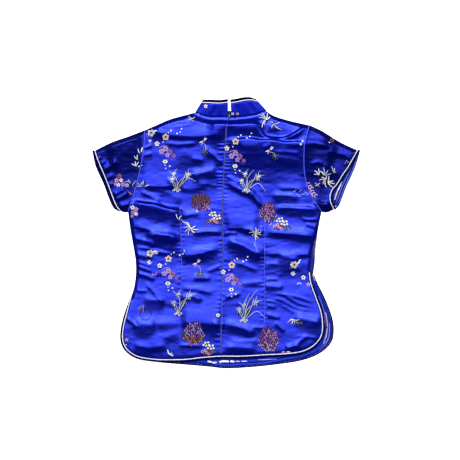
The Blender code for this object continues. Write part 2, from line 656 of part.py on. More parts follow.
def sleeve(label, side, armhole, top, foot, cuff_upper, cuff_lower, collection):
    """A flattened sleeve, with the cord and the binding round its cuff."""
    walls = [sleeve_walls(armhole, top, foot, cuff, side) for cuff in (cuff_upper, cuff_lower)]
    rings = [ring_of(upper, lower, CLOTH / 2) for upper, lower in zip(*walls)]
    loft(f"sleeve_{label}", rings, "satin", collection, ring=True)
    reach = CUFF_PIPING_RADIUS + SEAM_GAP
    line = ring_of(*(carried_on(wall, reach) for wall in walls), CUFF_PIPING_RADIUS, PIPED_FOLD)
    cord(f"cuff_piping_{label}", line, CUFF_PIPING_RADIUS, collection, closed=True)
    edges = [
        ring_of(*(carried_on(wall, reach * 2 + width) for wall in walls), CLOTH / 2)
        for width in (0.0, BINDING_WIDTH)
    ]
    loft(f"cuff_binding_{label}", edges, "binding", collection, ring=True)
    return walls[1]


def cuff_facing(label, wall, collection):
    """The bias strip inside the lower half of a cuff, which shows where the cuff stands open."""
    outer = 2 * (CUFF_PIPING_RADIUS + SEAM_GAP) + BINDING_WIDTH - 0.3
    edges = [evenly(carried_on(wall, outer - inset), FACING_SECTIONS) for inset in (0, CUFF_FACING_WIDTH)]
    level = CUFF_FACING_LEVEL + FACING / 2
    strip = pairs(*(at_level(edge[1:-1], level) for edge in edges))
    loft(f"cuff_facing_{label}", strip, "satin", collection, FACING)


# Collar

def collar_half(label, side, neck, top, front_neck, front_top, collection):
    """Half of the collar: from the zip, round the side of the neck, to the centre front."""
    base = smooth_path(neck) + np.array([0, SEAM_GAP + 0.1])
    rim = evenly(smooth_path(top), len(base))
    front_base = smooth_path(front_neck)
    front_rim = evenly(smooth_path(front_top), len(front_base))
    front_base[-1, 0] += side * SEAM_GAP
    low, high = CLOTH / 2, REST_LEVEL + CLOTH / 2
    lift = COLLAR_ARCH * np.sin(np.pi * np.linspace(0.12, 1, len(base)))
    back = [
        [(*(foot + (head - foot) * share), high + arch * (0.1 + 0.9 * share)) for share in COLLAR_SHARES]
        for foot, head, arch in zip(base, rim, lift)
    ]
    outward = np.array([side, 0.55])
    lines = [base[-1] + (rim[-1] - base[-1]) * share for share in COLLAR_SHARES]
    folded = zip(*(fold_round(place, outward, high, low) for place in lines))
    front = [
        [(*(foot + (head - foot) * share), low) for share in COLLAR_SHARES]
        for foot, head in zip(front_base, front_rim)
    ]
    sections = [*back, *map(list, folded), *front]
    loft(f"collar_{label}", sections, "satin", collection)
    rims = np.array([section[-1] for section in sections])
    up = rims - np.array([section[0] for section in sections])
    up[:, 2] = 0
    up /= np.linalg.norm(up, axis=1)[:, None]
    reach = PIPING_RADIUS + 1.6 * SEAM_GAP
    line = rims + up * reach
    line[:, 2] = np.maximum(line[:, 2], PIPING_RADIUS)
    cord(f"collar_piping_{label}", line, PIPING_RADIUS, collection)
    edges = [rims + up * (reach * 2 + width) for width in (SEAM_GAP, COLLAR_BINDING_WIDTH)]
    loft(f"collar_binding_{label}", pairs(*edges), "binding", collection)


# Zip

def zip_chain(collection):
    """The closed teeth, a narrow strip between the two halves of the back."""
    centre = smooth_path(CENTRE_BACK, 9.0)
    centre = centre[centre[:, 1] > ZIP_END]
    centre = np.concatenate([[PIN_PLACE[:2]], centre])
    edges = [at_height(shifted(centre, way * ZIP_CHAIN_WIDTH / 2)) for way in (1, -1)]
    for edge in edges:
        edge[0, 2] = edge[1, 2]
    loft("zip_chain", pairs(*edges), "zip_tape", collection, ZIP_CHAIN_THICKNESS)


def moved_to(collection, name):
    """The primitive just added, under its name and in its collection."""
    made = bpy.context.object
    made.name = name
    for holder in list(made.users_collection):
        holder.objects.unlink(made)
    collection.objects.link(made)
    return made


def block(name, size, place, collection):
    bpy.ops.mesh.primitive_cube_add(size=1, location=Vector(place) * MM)
    bpy.context.object.scale = Vector(size) * MM
    bpy.ops.object.transform_apply(location=True, scale=True)
    return moved_to(collection, name)


def rod(name, radius, length, collection):
    """A round bar along X, centred on the origin."""
    bpy.ops.mesh.primitive_cylinder_add(
        vertices=16, radius=radius * MM, depth=length * MM, rotation=(0, math.pi / 2, 0)
    )
    bpy.ops.object.transform_apply(rotation=True)
    return moved_to(collection, name)


def combine(target, tool, operation):
    change = target.modifiers.new(tool.name, "BOOLEAN")
    change.operation = operation
    change.solver = "EXACT"
    change.object = tool
    tool.hide_render = True
    tool.display_type = "WIRE"


def soften(target, width):
    edge = target.modifiers.new("Soft edges", "BEVEL")
    edge.width = width * MM
    edge.segments = 1


def placed_on_axis(target, tools, axis, tilt):
    """Puts an object built round the origin onto the hinge axis, and its tools with it."""
    axis_point = Vector(axis) * MM
    for tool in tools:
        tool.parent = target
    target.location = axis_point
    target.rotation_euler = (tilt, 0, SLIDER_TURN)


def zip_slider(collection, tools):
    """The slider's body with two lugs and the pin that the pull swings on, round the pin's axis."""
    drop = -PIN_LIFT - SLIDER_SIZE[2] / 2
    body = block("zip_slider", SLIDER_SIZE, (0, 0, drop), collection)
    soften(body, 0.5)
    lug_x = (EYE_LENGTH + LUG_THICKNESS) / 2 + SEAM_GAP
    lug_height = PIN_LIFT + PIN_RADIUS + 1.1
    parts = [
        block(f"lug_{k}", (LUG_THICKNESS, 2.0, lug_height), (way * lug_x, 0, 0.8 - lug_height / 2), tools)
        for k, way in enumerate((-1, 1))
    ]
    parts.append(rod("pin", PIN_RADIUS, 2 * lug_x, tools))
    for part in parts:
        combine(body, part, "UNION")
    placed_on_axis(body, parts, PIN_PLACE, 0)
    body.data.materials.append(material("zip_metal"))


def zip_pull(collection, tools):
    """The pull tab, built along -Y from the pin, with its eye round the pin."""
    length = PULL_LENGTH - EYE_RADIUS
    tab = block("zip_pull", (PULL_WIDTH, length, PULL_THICKNESS),
                (0, -EYE_RADIUS * 0.6 - length / 2, 0), collection)
    for corner in tab.data.vertices:
        if corner.co.y > -EYE_RADIUS * MM:
            corner.co.x *= EYE_LENGTH / PULL_WIDTH
    soften(tab, 0.2)
    eye = rod("pull_eye", EYE_RADIUS, EYE_LENGTH, tools)
    bore = rod("pull_bore", EYE_BORE, EYE_LENGTH * 2, tools)
    combine(tab, eye, "UNION")
    combine(tab, bore, "DIFFERENCE")
    placed_on_axis(tab, [eye, bore], PIN_PLACE, PULL_TILT)
    tab.data.materials.append(material("zip_metal"))


def new_collection(name):
    made = bpy.data.collections.new(name)
    bpy.context.scene.collection.children.link(made)
    return made


def build():
    clear_scene()
    garment, tools = new_collection("ao_dai_top"), new_collection("cutters")
    front_panel(garment)
    back_half("back_left", -1, NECK_LEFT, SHOULDER_LEFT, ARMHOLE_LEFT, SIDE_LEFT, BACK_HEM_LEFT, garment)
    back_half("back_right", 1, NECK_RIGHT, SHOULDER_RIGHT, ARMHOLE_RIGHT, ROLLED_SEAM_RIGHT,
              BACK_HEM_RIGHT, garment)
    back_hem(garment)
    front_hem(garment)
    sleeve("left", -1, ARMHOLE_LEFT, SLEEVE_TOP_LEFT, SLEEVE_FOOT_LEFT, CUFF_UPPER_LEFT,
           CUFF_LOWER_LEFT, garment)
    open_cuff = sleeve("right", 1, ARMHOLE_RIGHT, SLEEVE_TOP_RIGHT, SLEEVE_FOOT_RIGHT, CUFF_UPPER_RIGHT,
                       CUFF_LOWER_RIGHT, garment)
    cuff_facing("right", open_cuff, garment)
    collar_half("left", -1, NECK_LEFT, COLLAR_TOP_LEFT, FRONT_NECK_LEFT, FRONT_COLLAR_TOP_LEFT, garment)
    collar_half("right", 1, NECK_RIGHT, COLLAR_TOP_RIGHT, FRONT_NECK_RIGHT, FRONT_COLLAR_TOP_RIGHT,
                garment)
    zip_chain(garment)
    zip_slider(garment, tools)
    zip_pull(garment, tools)


build()
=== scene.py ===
import math

import bpy
import numpy as np
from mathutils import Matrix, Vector
from mathutils.bvhtree import BVHTree
from mathutils.geometry import delaunay_2d_cdt


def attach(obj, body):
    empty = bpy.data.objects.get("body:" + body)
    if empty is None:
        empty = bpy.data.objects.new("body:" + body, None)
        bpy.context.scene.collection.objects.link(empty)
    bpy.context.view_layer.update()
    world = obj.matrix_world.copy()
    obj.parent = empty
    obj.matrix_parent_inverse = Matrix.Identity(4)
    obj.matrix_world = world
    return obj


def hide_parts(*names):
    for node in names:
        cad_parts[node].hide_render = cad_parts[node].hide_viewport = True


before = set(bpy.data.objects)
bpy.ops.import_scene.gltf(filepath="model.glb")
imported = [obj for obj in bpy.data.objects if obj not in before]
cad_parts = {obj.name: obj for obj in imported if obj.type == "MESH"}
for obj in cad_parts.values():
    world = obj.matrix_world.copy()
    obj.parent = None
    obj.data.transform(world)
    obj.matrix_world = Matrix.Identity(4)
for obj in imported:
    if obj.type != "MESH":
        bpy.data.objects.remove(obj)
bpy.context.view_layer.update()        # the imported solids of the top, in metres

print("frame loaded,", len(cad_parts), "solids")

mm = 0.001               # everything below is in millimetres until it becomes a mesh

# Studio

studio = {
    "lens": 400.0,                # mm, on a 36 mm sensor
    "sensor": 36.0,
    "middle": (9.5, 7.5),         # what the picture is centred on, mm
    "pictureWidth": 1012.0,       # mm of table across the picture
    "clothLevel": 5.0,
    "floorSize": 30.0,            # m
    "floorColour": (0.92, 0.92, 0.93, 1.0),
    "floorGlow": 0.86,
    "floorRoughness": 0.9,
    "floorLevel": -0.0004,        # m, just under the cloth
    "farthest": 50,               # m, as far as the camera sees
    "skyColour": (0.12, 0.28, 0.9, 1.0),
    "skyStrength": 0.12,
}
# name, place in m, width and length in m, watts, colour
lamps = [
    ("Overhead panel", (0.0, 3.3, 9.8), (10.4, 9.2), 880.0, (1.0, 0.99, 0.97)),
    ("Bright strip", (-0.4, 2.1, 8.9), (8.0, 1.7), 150.0, (1.0, 0.99, 0.97)),
    ("Near key", (-0.8, 4.0, 8.4), (5.0, 1.2), 330.0, (1.0, 0.99, 0.97)),
    ("Key softbox", (-1.6, 6.6, 7.4), (5.2, 3.0), 560.0, (1.0, 0.99, 0.97)),
]


def buildStudio():
    height = studio["pictureWidth"] * studio["lens"] / studio["sensor"] + studio["clothLevel"]
    camData = bpy.data.cameras.new("Camera")
    camData.lens = studio["lens"]
    camData.sensor_width = studio["sensor"]
    camData.clip_end = studio["farthest"]
    cam = bpy.data.objects.new("Camera", camData)
    cam.location = (studio["middle"][0] * mm, studio["middle"][1] * mm, height * mm)
    bpy.context.scene.collection.objects.link(cam)
    bpy.context.scene.camera = cam
    for name, place, size, watts, colour in lamps:
        light = bpy.data.lights.new(name, "AREA")
        light.shape = "RECTANGLE"
        light.size, light.size_y = size
        light.energy = watts
        light.color = colour
        lamp = bpy.data.objects.new(name, light)
        lamp.location = place
        lamp.rotation_euler = (-Vector(place)).to_track_quat("-Z", "Y").to_euler()
        bpy.context.scene.collection.objects.link(lamp)
    world = bpy.data.worlds.new("Studio")
    world.use_nodes = True
    world.node_tree.nodes["Background"].inputs["Color"].default_value = studio["skyColour"]
    world.node_tree.nodes["Background"].inputs["Strength"].default_value = studio["skyStrength"]
    bpy.context.scene.world = world
    bpy.context.scene.view_settings.view_transform = "Standard"
    bpy.ops.mesh.primitive_plane_add(size=studio["floorSize"], location=(0, 0, studio["floorLevel"]))
    floor = bpy.context.object
    floor.name = "Floor"
    paper = bpy.data.materials.new("White paper")
    paper.use_nodes = True
    shader = paper.node_tree.nodes["Principled BSDF"]
    shader.inputs["Base Color"].default_value = studio["floorColour"]
    shader.inputs["Roughness"].default_value = studio["floorRoughness"]
    shader.inputs["Emission Color"].default_value = (1, 1, 1, 1)
    shader.inputs["Emission Strength"].default_value = studio["floorGlow"]
    floor.data.materials.append(paper)
    floor.visible_glossy = False
    print("studio ready")


buildStudio()

# Materials

satinLook = {
    "deep": (0.0002, 0.0010, 0.060, 1.0),     # the dye where the threads lie in shade
    "light": (0.0006, 0.0024, 0.115, 1.0),
    "sheenTint": (0.045, 0.07, 1.0, 1.0),    # satin floats throw back their own colour
    "ior": 2.3,
    "stretch": 0.5,                          # highlights spread along the weft
    "roughness": (0.25, 0.36),
    "threadsPerMm": (2.2, 0.88),             # across and down
    "threadDepth": 0.006,                    # mm, as the next
    "crumpleDepth": 0.14,
    # scale, stretch, detail and roughness of the noise that varies the dye, the gloss and the crumples
    "dyeNoise": (90, (1.0, 3.2, 1.0), 4, 0.6),
    "glossNoise": (160, (1.0, 2.4, 1.0), 3),
    "crumpleNoise": (190, (0.55, 1.5, 1.0), 4, 0.55),
}
threadLook = {
    "darker": 0.62,          # shares of the colour in the thread's twist
    "lighter": 1.12,
    "plyPerMm": 1.5,
    "fuzz": 700,
    "roughness": (0.38, 0.55),
    "depth": 0.06,
    "shine": 0.5,
    "darkShine": 0.1,        # of colours darker than the next
    "dark": 0.3,
}
cordLook = {
    "shade": 0.86,
    "weavePerMm": 1.6,
    "roughness": (0.35, 0.5),
    "depth": 0.05,
}
paintLook = {
    "bare": (0.30, 0.31, 0.34, 1.0),         # the metal where the paint is worn
    "metallic": 0.6,
    "roughness": (0.25, 0.45),
    "depth": 0.02,
}
threadColours = {            # of the woven flowers
    "peach": (0.56, 0.32, 0.24),
    "white": (0.78, 0.79, 0.84),
    "silver": (0.42, 0.46, 0.62),
    "pink": (0.50, 0.20, 0.42),
    "lilac": (0.42, 0.34, 0.74),
    "violet": (0.28, 0.13, 0.52),
    "purple": (0.12, 0.04, 0.26),
    "gold": (0.42, 0.34, 0.26),
    "red": (0.20, 0.015, 0.06),
    "orange": (0.50, 0.17, 0.13),
    "ink": (0.002, 0.004, 0.026),
    "sky": (0.14, 0.20, 0.84),
    "brown": (0.12, 0.045, 0.035),
    "copper": (0.19, 0.075, 0.08),
    "shell": (0.60, 0.40, 0.44),
}


class NodeKit:
    # short calls for putting a material's nodes together
    def __init__(self, name):
        self.made = bpy.data.materials.new(name)
        self.made.use_nodes = True
        self.tree = self.made.node_tree
        self.shader = self.tree.nodes["Principled BSDF"]

    def node(self, kind, settings=None, **inputs):
        made = self.tree.nodes.new(kind)
        for key, value in (settings or {}).items():
            setattr(made, key, value)
        for key, value in inputs.items():
            self.feed(made.inputs[key.replace("_", " ")], value)
        return made

    def feed(self, socket, value):
        if isinstance(value, bpy.types.NodeSocket):
            self.tree.links.new(value, socket)
        else:
            socket.default_value = value

    def put(self, **inputs):
        for key, value in inputs.items():
            self.feed(self.shader.inputs[key.replace("_", " ")], value)

    def place(self, scale):
        coords = self.node("ShaderNodeTexCoord")
        moved = self.node("ShaderNodeMapping", Vector=coords.outputs["Object"], Scale=scale)
        return moved.outputs["Vector"]

    def noise(self, scale, stretch=(1, 1, 1), detail=3.0, roughness=0.5):
        made = self.node("ShaderNodeTexNoise", Vector=self.place(stretch), Scale=scale,
                         Detail=detail, Roughness=roughness)
        return made.outputs["Fac"]

    def wave(self, perMm, direction, stretch=(1, 1, 1)):
        made = self.node("ShaderNodeTexWave", {"bands_direction": direction},
                         Vector=self.place(stretch), Scale=perMm * 1000 * 2 * math.pi / 20)
        return made.outputs["Fac"]

    def blend(self, factor, first, second):
        made = self.node("ShaderNodeMix", {"data_type": "RGBA"})
        for socket, value in zip((made.inputs[0], made.inputs[6], made.inputs[7]), (factor, first, second)):
            self.feed(socket, value)
        return made.outputs[2]

    def span(self, factor, low, high, fromLow=0.3, fromHigh=0.7):
        made = self.node("ShaderNodeMapRange", Value=factor, From_Min=fromLow, From_Max=fromHigh,
                         To_Min=low, To_Max=high)
        return made.outputs["Result"]

    def multiply(self, first, second):
        made = self.node("ShaderNodeMath", {"operation": "MULTIPLY"})
        self.feed(made.inputs[0], first)
        self.feed(made.inputs[1], second)
        return made.outputs["Value"]

    def bump(self, height, depth, below=None):
        made = self.node("ShaderNodeBump", Height=height, Distance=depth * mm, Strength=1.0)
        if below is not None:
            self.feed(made.inputs["Normal"], below)
        return made.outputs["Normal"]


def satin(name, gloss=1.0, deep=None, light=None, crumple=1.0):
    kit = NodeKit(name)
    look = satinLook
    streaks = kit.noise(*look["dyeNoise"])
    kit.put(Base_Color=kit.blend(kit.span(streaks, 0, 1), deep or look["deep"], light or look["light"]))
    kit.put(Roughness=kit.span(kit.noise(*look["glossNoise"]), *look["roughness"]))
    kit.put(IOR=1 + (look["ior"] - 1) * gloss, Specular_IOR_Level=min(1.0, gloss))
    kit.put(Specular_Tint=look["sheenTint"], Anisotropic=look["stretch"])
    weft = kit.node("ShaderNodeTangent", {"direction_type": "UV_MAP", "uv_map": "cut"})
    kit.put(Tangent=weft.outputs["Tangent"])
    crumples = kit.bump(kit.noise(*look["crumpleNoise"]), look["crumpleDepth"] * crumple)
    across, down = look["threadsPerMm"]
    floats = kit.multiply(kit.wave(across, "X"), kit.wave(down, "Y"))
    kit.put(Normal=kit.bump(floats, look["threadDepth"], crumples))
    return kit.made


def thread(name, colour):
    kit = NodeKit(name)
    look = threadLook
    darker = tuple(look["darker"] * c for c in colour) + (1.0,)
    lighter = tuple(min(1.0, look["lighter"] * c) for c in colour) + (1.0,)
    ply = kit.multiply(kit.wave(look["plyPerMm"], "X"), kit.noise(look["fuzz"], (1, 1, 1), 2))
    kit.put(Base_Color=kit.blend(kit.span(ply, 0, 1, 0.05, 0.6), darker, lighter))
    kit.put(Roughness=kit.span(kit.noise(420), *look["roughness"]))
    kit.put(Specular_IOR_Level=look["shine"] if max(colour) > look["dark"] else look["darkShine"])
    kit.put(Normal=kit.bump(ply, look["depth"]))
    return kit.made


def cordCloth(name, colour):
    kit = NodeKit(name)
    look = cordLook
    shade = tuple(look["shade"] * c for c in colour) + (1.0,)
    weave = kit.multiply(kit.wave(look["weavePerMm"], "X"), kit.wave(look["weavePerMm"], "Y"))
    kit.put(Base_Color=kit.blend(kit.span(weave, 0, 1, 0.1, 0.7), shade, colour + (1.0,)))
    kit.put(Roughness=kit.span(kit.noise(300), *look["roughness"]))
    kit.put(Normal=kit.bump(weave, look["depth"]))
    return kit.made


def paintedMetal(name, colour):
    kit = NodeKit(name)
    look = paintLook
    wear = kit.noise(900, (1, 1, 1), 5, 0.65)
    kit.put(Base_Color=kit.blend(kit.span(wear, 0, 0.5, 0.58, 0.74), colour, look["bare"]))
    kit.put(Metallic=look["metallic"], Roughness=kit.span(kit.noise(1400), *look["roughness"]))
    kit.put(Normal=kit.bump(wear, look["depth"]))
    return kit.made


# name, gloss, dye in shade, dye in light, share of the crumples
finishes = {
    "body": satin("Blue satin"),
    # painted shade: the body's satin with a darker dye and less gloss, for sleeves whose threads turn away
    # from the lamps
    "sleeve": satin("Blue satin on the sleeves in painted shade", 0.66,
                    (0.0002, 0.0008, 0.03, 1.0), (0.0004, 0.0016, 0.06, 1.0)),
    # painted light: the body's satin with a lighter dye and less gloss, for how the collar's face catches
    # the lamps
    "collar": satin("Blue satin on the collar in painted light", 0.62,
                    (0.0006, 0.003, 0.16, 1.0), (0.0012, 0.005, 0.26, 1.0)),
    # painted highlight: the satin's rolled seam at the armholes as a bright matte blue cord, for the light
    # line along it
    "paintedHighlightWelt": cordCloth("Rolled seam with painted highlight", (0.05, 0.08, 0.9)),
    "reverse": satin("Wrong side of the satin", 0.5,
                     (0.006, 0.012, 0.13, 1.0), (0.012, 0.02, 0.2, 1.0)),
    # painted shade: the body's satin darkened nearly to black and its gloss cut, for the bias where it rolls
    # away beside the piping
    "binding": satin("Blue satin bias in painted shade", 0.32,
                     (0.0004, 0.0008, 0.018, 1.0), (0.0008, 0.0016, 0.035, 1.0), 0.4),
    # painted shade: the bias on the collar darker still and almost without gloss, so that its dome shows no
    # highlight
    "collarBindingInShade": satin("Blue bias on the collar in painted shade", 0.06,
                           (0.0004, 0.0006, 0.012, 1.0), (0.0006, 0.001, 0.02, 1.0), 0.4),
    "facing": satin("Blue facing", 0.6,
                    (0.004, 0.012, 0.20, 1.0), (0.006, 0.018, 0.27, 1.0), 0.6),
    "piping": cordCloth("White piping", (0.88, 0.88, 0.92)),
    "zipTape": cordCloth("Zip tape", (0.006, 0.010, 0.10)),
    "zipMetal": paintedMetal("Painted zip metal", (0.006, 0.008, 0.035, 1.0)),
    # real sewing thread, its pale blue also a painted highlight along the edges of the seams
    "stitching": thread("Blue sewing thread with painted highlight", (0.10, 0.13, 0.70)),
}
threads = {name: thread("Thread " + name, colour) for name, colour in threadColours.items()}
print("materials ready,", len(finishes) + len(threads))

# Outlines of the garment as it lies, in mm, the same as the solids have but for the collar's
# inner corners. Each is a smooth curve through its points, from the neck to the hem or from the
# armhole to the cuff.

centreBack = [(9, 256), (3, 241), (0, 205), (-3, 161), (-6, 95), (-7, 18), (-6, -37), (-9, -147),
              (-11, -270)]
neckLeft = [(5, 256), (-9, 257), (-33, 257), (-49, 260), (-65, 267)]
neckRight = [(13, 256), (31, 257), (48, 259), (69, 263), (88, 270)]
frontNeckLeft = [(-65, 267), (-61, 238), (-44, 208), (-18, 190), (8, 185)]
frontNeckRight = [(88, 270), (83, 240), (62, 209), (36, 190), (8, 185)]
shoulderLeft = [(-65, 267), (-87, 261), (-123, 251), (-149, 240), (-178, 227)]
shoulderRight = [(88, 270), (106, 259), (141, 248), (184, 238)]
armholeLeft = [(-178, 227), (-180, 190), (-186, 154), (-194, 115), (-203, 84), (-215, 47)]
armholeRight = [(184, 238), (174, 203), (172, 172), (173, 138), (179, 106), (190, 80), (211, 48)]
sideLeft = [(-215, 47), (-209, 3), (-203, -30), (-198, -63), (-198, -92), (-202, -120), (-209, -142)]
sideRight = [(211, 48), (205, 18), (200, -15), (197, -41), (196, -63), (193, -86)]
rolledSeamRight = [(211, 48), (204, 18), (197, -10), (189, -35), (186, -60), (184, -86)]
backHemLeft = [(-209, -142), (-218, -177), (-225, -206), (-227, -227), (-225, -241), (-218, -254),
               (-205, -265), (-189, -272), (-156, -277), (-121, -278), (-87, -277), (-52, -273), (-11, -270)]
backHemRight = [(-11, -270), (35, -270), (88, -267), (140, -264), (169, -259), (190, -249), (206, -233),
                (212, -218), (213, -201), (210, -175), (201, -148), (192, -124), (186, -103), (184, -86)]
frontHem = [(-205, -150), (-221, -200), (-225, -226), (-221, -246), (-204, -264), (-181, -274),
            (-145, -280), (-112, -283), (-40, -289), (-1, -293), (47, -291), (107, -285), (165, -276),
            (199, -264), (220, -249), (231, -234), (234, -218), (233, -196), (226, -171), (214, -142),
            (202, -116), (193, -92)]
collarTopLeft = [(5.0, 288), (-13, 286), (-38, 287), (-52, 287.5)]
collarTopRight = [(10.6, 286.5), (26, 289), (40, 292), (58, 293), (69, 290.5)]
frontCollarTopLeft = [(-52, 287.5), (-36, 258), (-18, 236), (3, 226)]
frontCollarTopRight = [(69, 290.5), (56, 258), (36, 236), (13, 226)]
sleeveTopLeft = [(-178, 227), (-211, 214), (-246, 202), (-268, 192), (-287, 182)]
sleeveTopRight = [(184, 238), (212, 225), (247, 203), (265, 194), (289, 183)]
sleeveFootLeft = [(-215, 47), (-222, 47), (-230, 49)]
sleeveFootRight = [(211, 48), (223, 47), (237, 53)]
cuffUpperLeft = [(-287, 182), (-278, 156), (-268, 133), (-259, 111), (-249, 84), (-240, 62), (-230, 49)]
cuffLowerLeft = [(-287, 182), (-281, 152), (-272, 131), (-262, 109), (-253, 84), (-243, 62), (-230, 49)]
cuffUpperRight = [(289, 183), (280, 167), (268, 146), (256, 129), (244, 109), (234, 97), (229, 84),
                  (230, 69), (237, 53)]
cuffLowerRight = [(289, 183), (283, 160), (277, 143), (268, 123), (260, 106), (254, 90), (249, 77),
                  (244, 65), (237, 53)]
dartLeft = [(-102, 62), (-98, -26), (-98, -114), (-102, -191)]
dartRight = [(88, 36), (85, 18), (85, -37), (86, -147), (84, -208)]


def smoothPath(points, step=6.0):
    # a centripetal Catmull-Rom curve through the points, a place about every step
    ends = [np.array(p, float) for p in points]
    chain = [2 * ends[0] - ends[1], *ends, 2 * ends[-1] - ends[-2]]
    samples = [ends[0]]
    for before, start, end, after in zip(chain, chain[1:], chain[2:], chain[3:]):
        trio = ((before, start), (start, end), (end, after))
        knots = [0.0]
        for a, b in trio:
            knots.append(knots[-1] + math.sqrt(np.linalg.norm(b - a)))
        pieces = max(1, round(np.linalg.norm(end - start) / step))
        for k in range(1, pieces + 1):
            t = knots[1] + (knots[2] - knots[1]) * k / pieces
            near = [a + (b - a) * (t - knots[i]) / (knots[i + 1] - knots[i])
                    for i, (a, b) in enumerate(trio)]
            mid = [near[i] + (near[i + 1] - near[i]) * (t - knots[i]) / (knots[i + 2] - knots[i])
                   for i in range(2)]
            samples.append(mid[0] + (mid[1] - mid[0]) * (t - knots[1]) / (knots[2] - knots[1]))
    return np.array(samples)


def lengthsAlong(path):
    return np.concatenate([[0], np.cumsum(np.linalg.norm(np.diff(path, axis=0), axis=1))])


def atLengths(path, wanted):
    lengths = lengthsAlong(path)
    return np.stack([np.interp(wanted, lengths, path[:, k]) for k in range(path.shape[1])], axis=1)


def evenly(path, count):
    return atLengths(path, np.linspace(0, lengthsAlong(path)[-1], count))


def leftNormals(path):
    ahead = np.gradient(path[:, :2], axis=0)
    ahead /= np.linalg.norm(ahead, axis=1)[:, None]
    return np.stack([-ahead[:, 1], ahead[:, 0]], axis=1)


def shifted(path, distance):
    return path + leftNormals(path) * np.reshape(distance, (-1, 1))


def nearestOn(points, path):
    # distance to a path, the same with a sign that is positive on its left, and the length along
    # it of the nearest place
    best = np.full(len(points), np.inf)
    side, along = np.zeros(len(points)), np.zeros(len(points))
    for start, end, before in zip(path[:-1], path[1:], lengthsAlong(path)):
        step = end - start
        length = max(np.linalg.norm(step), 1e-9)
        away = points - start
        t = np.clip(away @ step / length ** 2, 0, 1)
        gap = np.linalg.norm(away - t[:, None] * step, axis=1)
        closer = gap < best
        best = np.where(closer, gap, best)
        turn = step[0] * away[:, 1] - step[1] * away[:, 0]
        side = np.where(closer, np.sign(turn), side)
        along = np.where(closer, before + t * length, along)
    return best, side * best, along


def distanceTo(points, path):
    return nearestOn(points, path)[0]


def inside(points, outline):
    within = np.zeros(len(points), bool)
    x, y = points[:, 0], points[:, 1]
    for (x1, y1), (x2, y2) in zip(outline, np.roll(outline, -1, axis=0)):
        if y1 != y2:
            crosses = (y1 > y) != (y2 > y)
            within ^= crosses & (x < x1 + (y - y1) * (x2 - x1) / (y2 - y1))
    return within


def smooth(t):
    t = np.clip(t, 0, 1)
    return t * t * (3 - 2 * t)


def xOn(path, y):
    # where a path that runs down the garment crosses a height
    return np.interp(-np.asarray(y, float), -path[:, 1], path[:, 0])


def joined(*paths):
    # one line, without the places that two paths share
    line = np.concatenate(paths)
    apart = np.linalg.norm(np.diff(line, axis=0), axis=1) > 0.2
    return line[np.concatenate([[True], apart])]


# How the satin lies. A crease is a crest line in mm, run from left to right, with its height,
# the width over which the cloth climbs to it from above, and the width over which it falls below.

lay = {
    "seam": 1.0,          # height of the cloth's face where it is sewn to the front
    "rest": 3.2,          # its least height elsewhere
    "tall": 18.6,         # above this the folds flatten out
    "spare": 1.9,         # and rise by this much at most
    "loft": 2.0,          # of the cloth between its creases
    "creaseScale": 1.2,
    "creaseReach": 2.6,   # of its widths, within which a crease is felt
    "creaseWander": (26, 14, 0.9, 21),     # unevenness of its line, given as a ripple
    "creaseFall": 1.4,    # how suddenly it falls
    "fadeShares": (0.24, 0.48),            # least and most of its length that an end dies away over
    "fadeWidth": (0.75, 26),               # share of its width, and the most width that counts
    "softness": 0.6,      # rounds the folds off where they meet the cloth below
    "collarLift": 6.0,    # the stand collar holds the top of the back up
    "liftFrom": (85.0, 145.0),    # where that lift starts, and over which length it grows
    "neckRoom": 18.0,     # how far the neck's seam holds the folds down
    "neckSeam": 2.0,
    "seamRoom": 9.0,      # the same beside the other seams
    "gatherRoom": 11.0,
    "edgeRound": 4.0,     # how far in the seam's roll reaches
    "lipSeam": 2.6,       # the right side seam keeps this much of its height on the front's lip
    "hemRise": 2.0,       # the tails lie this much higher, towards the hem
    "riseFrom": (-40.0, 200.0),
    "tailCalm": 0.4,      # and are smoother than the rest by this share
    "calmFrom": (-70.0, 100.0),
    "hemHold": 0.65,      # share of a fold's height that is left at the hem
    "hemFall": 9.0,
    "hemSink": 0.2,
    "hemRoom": 12.0,
    "seamGroove": 0.25,
    "grooveWidth": 1.3,
}
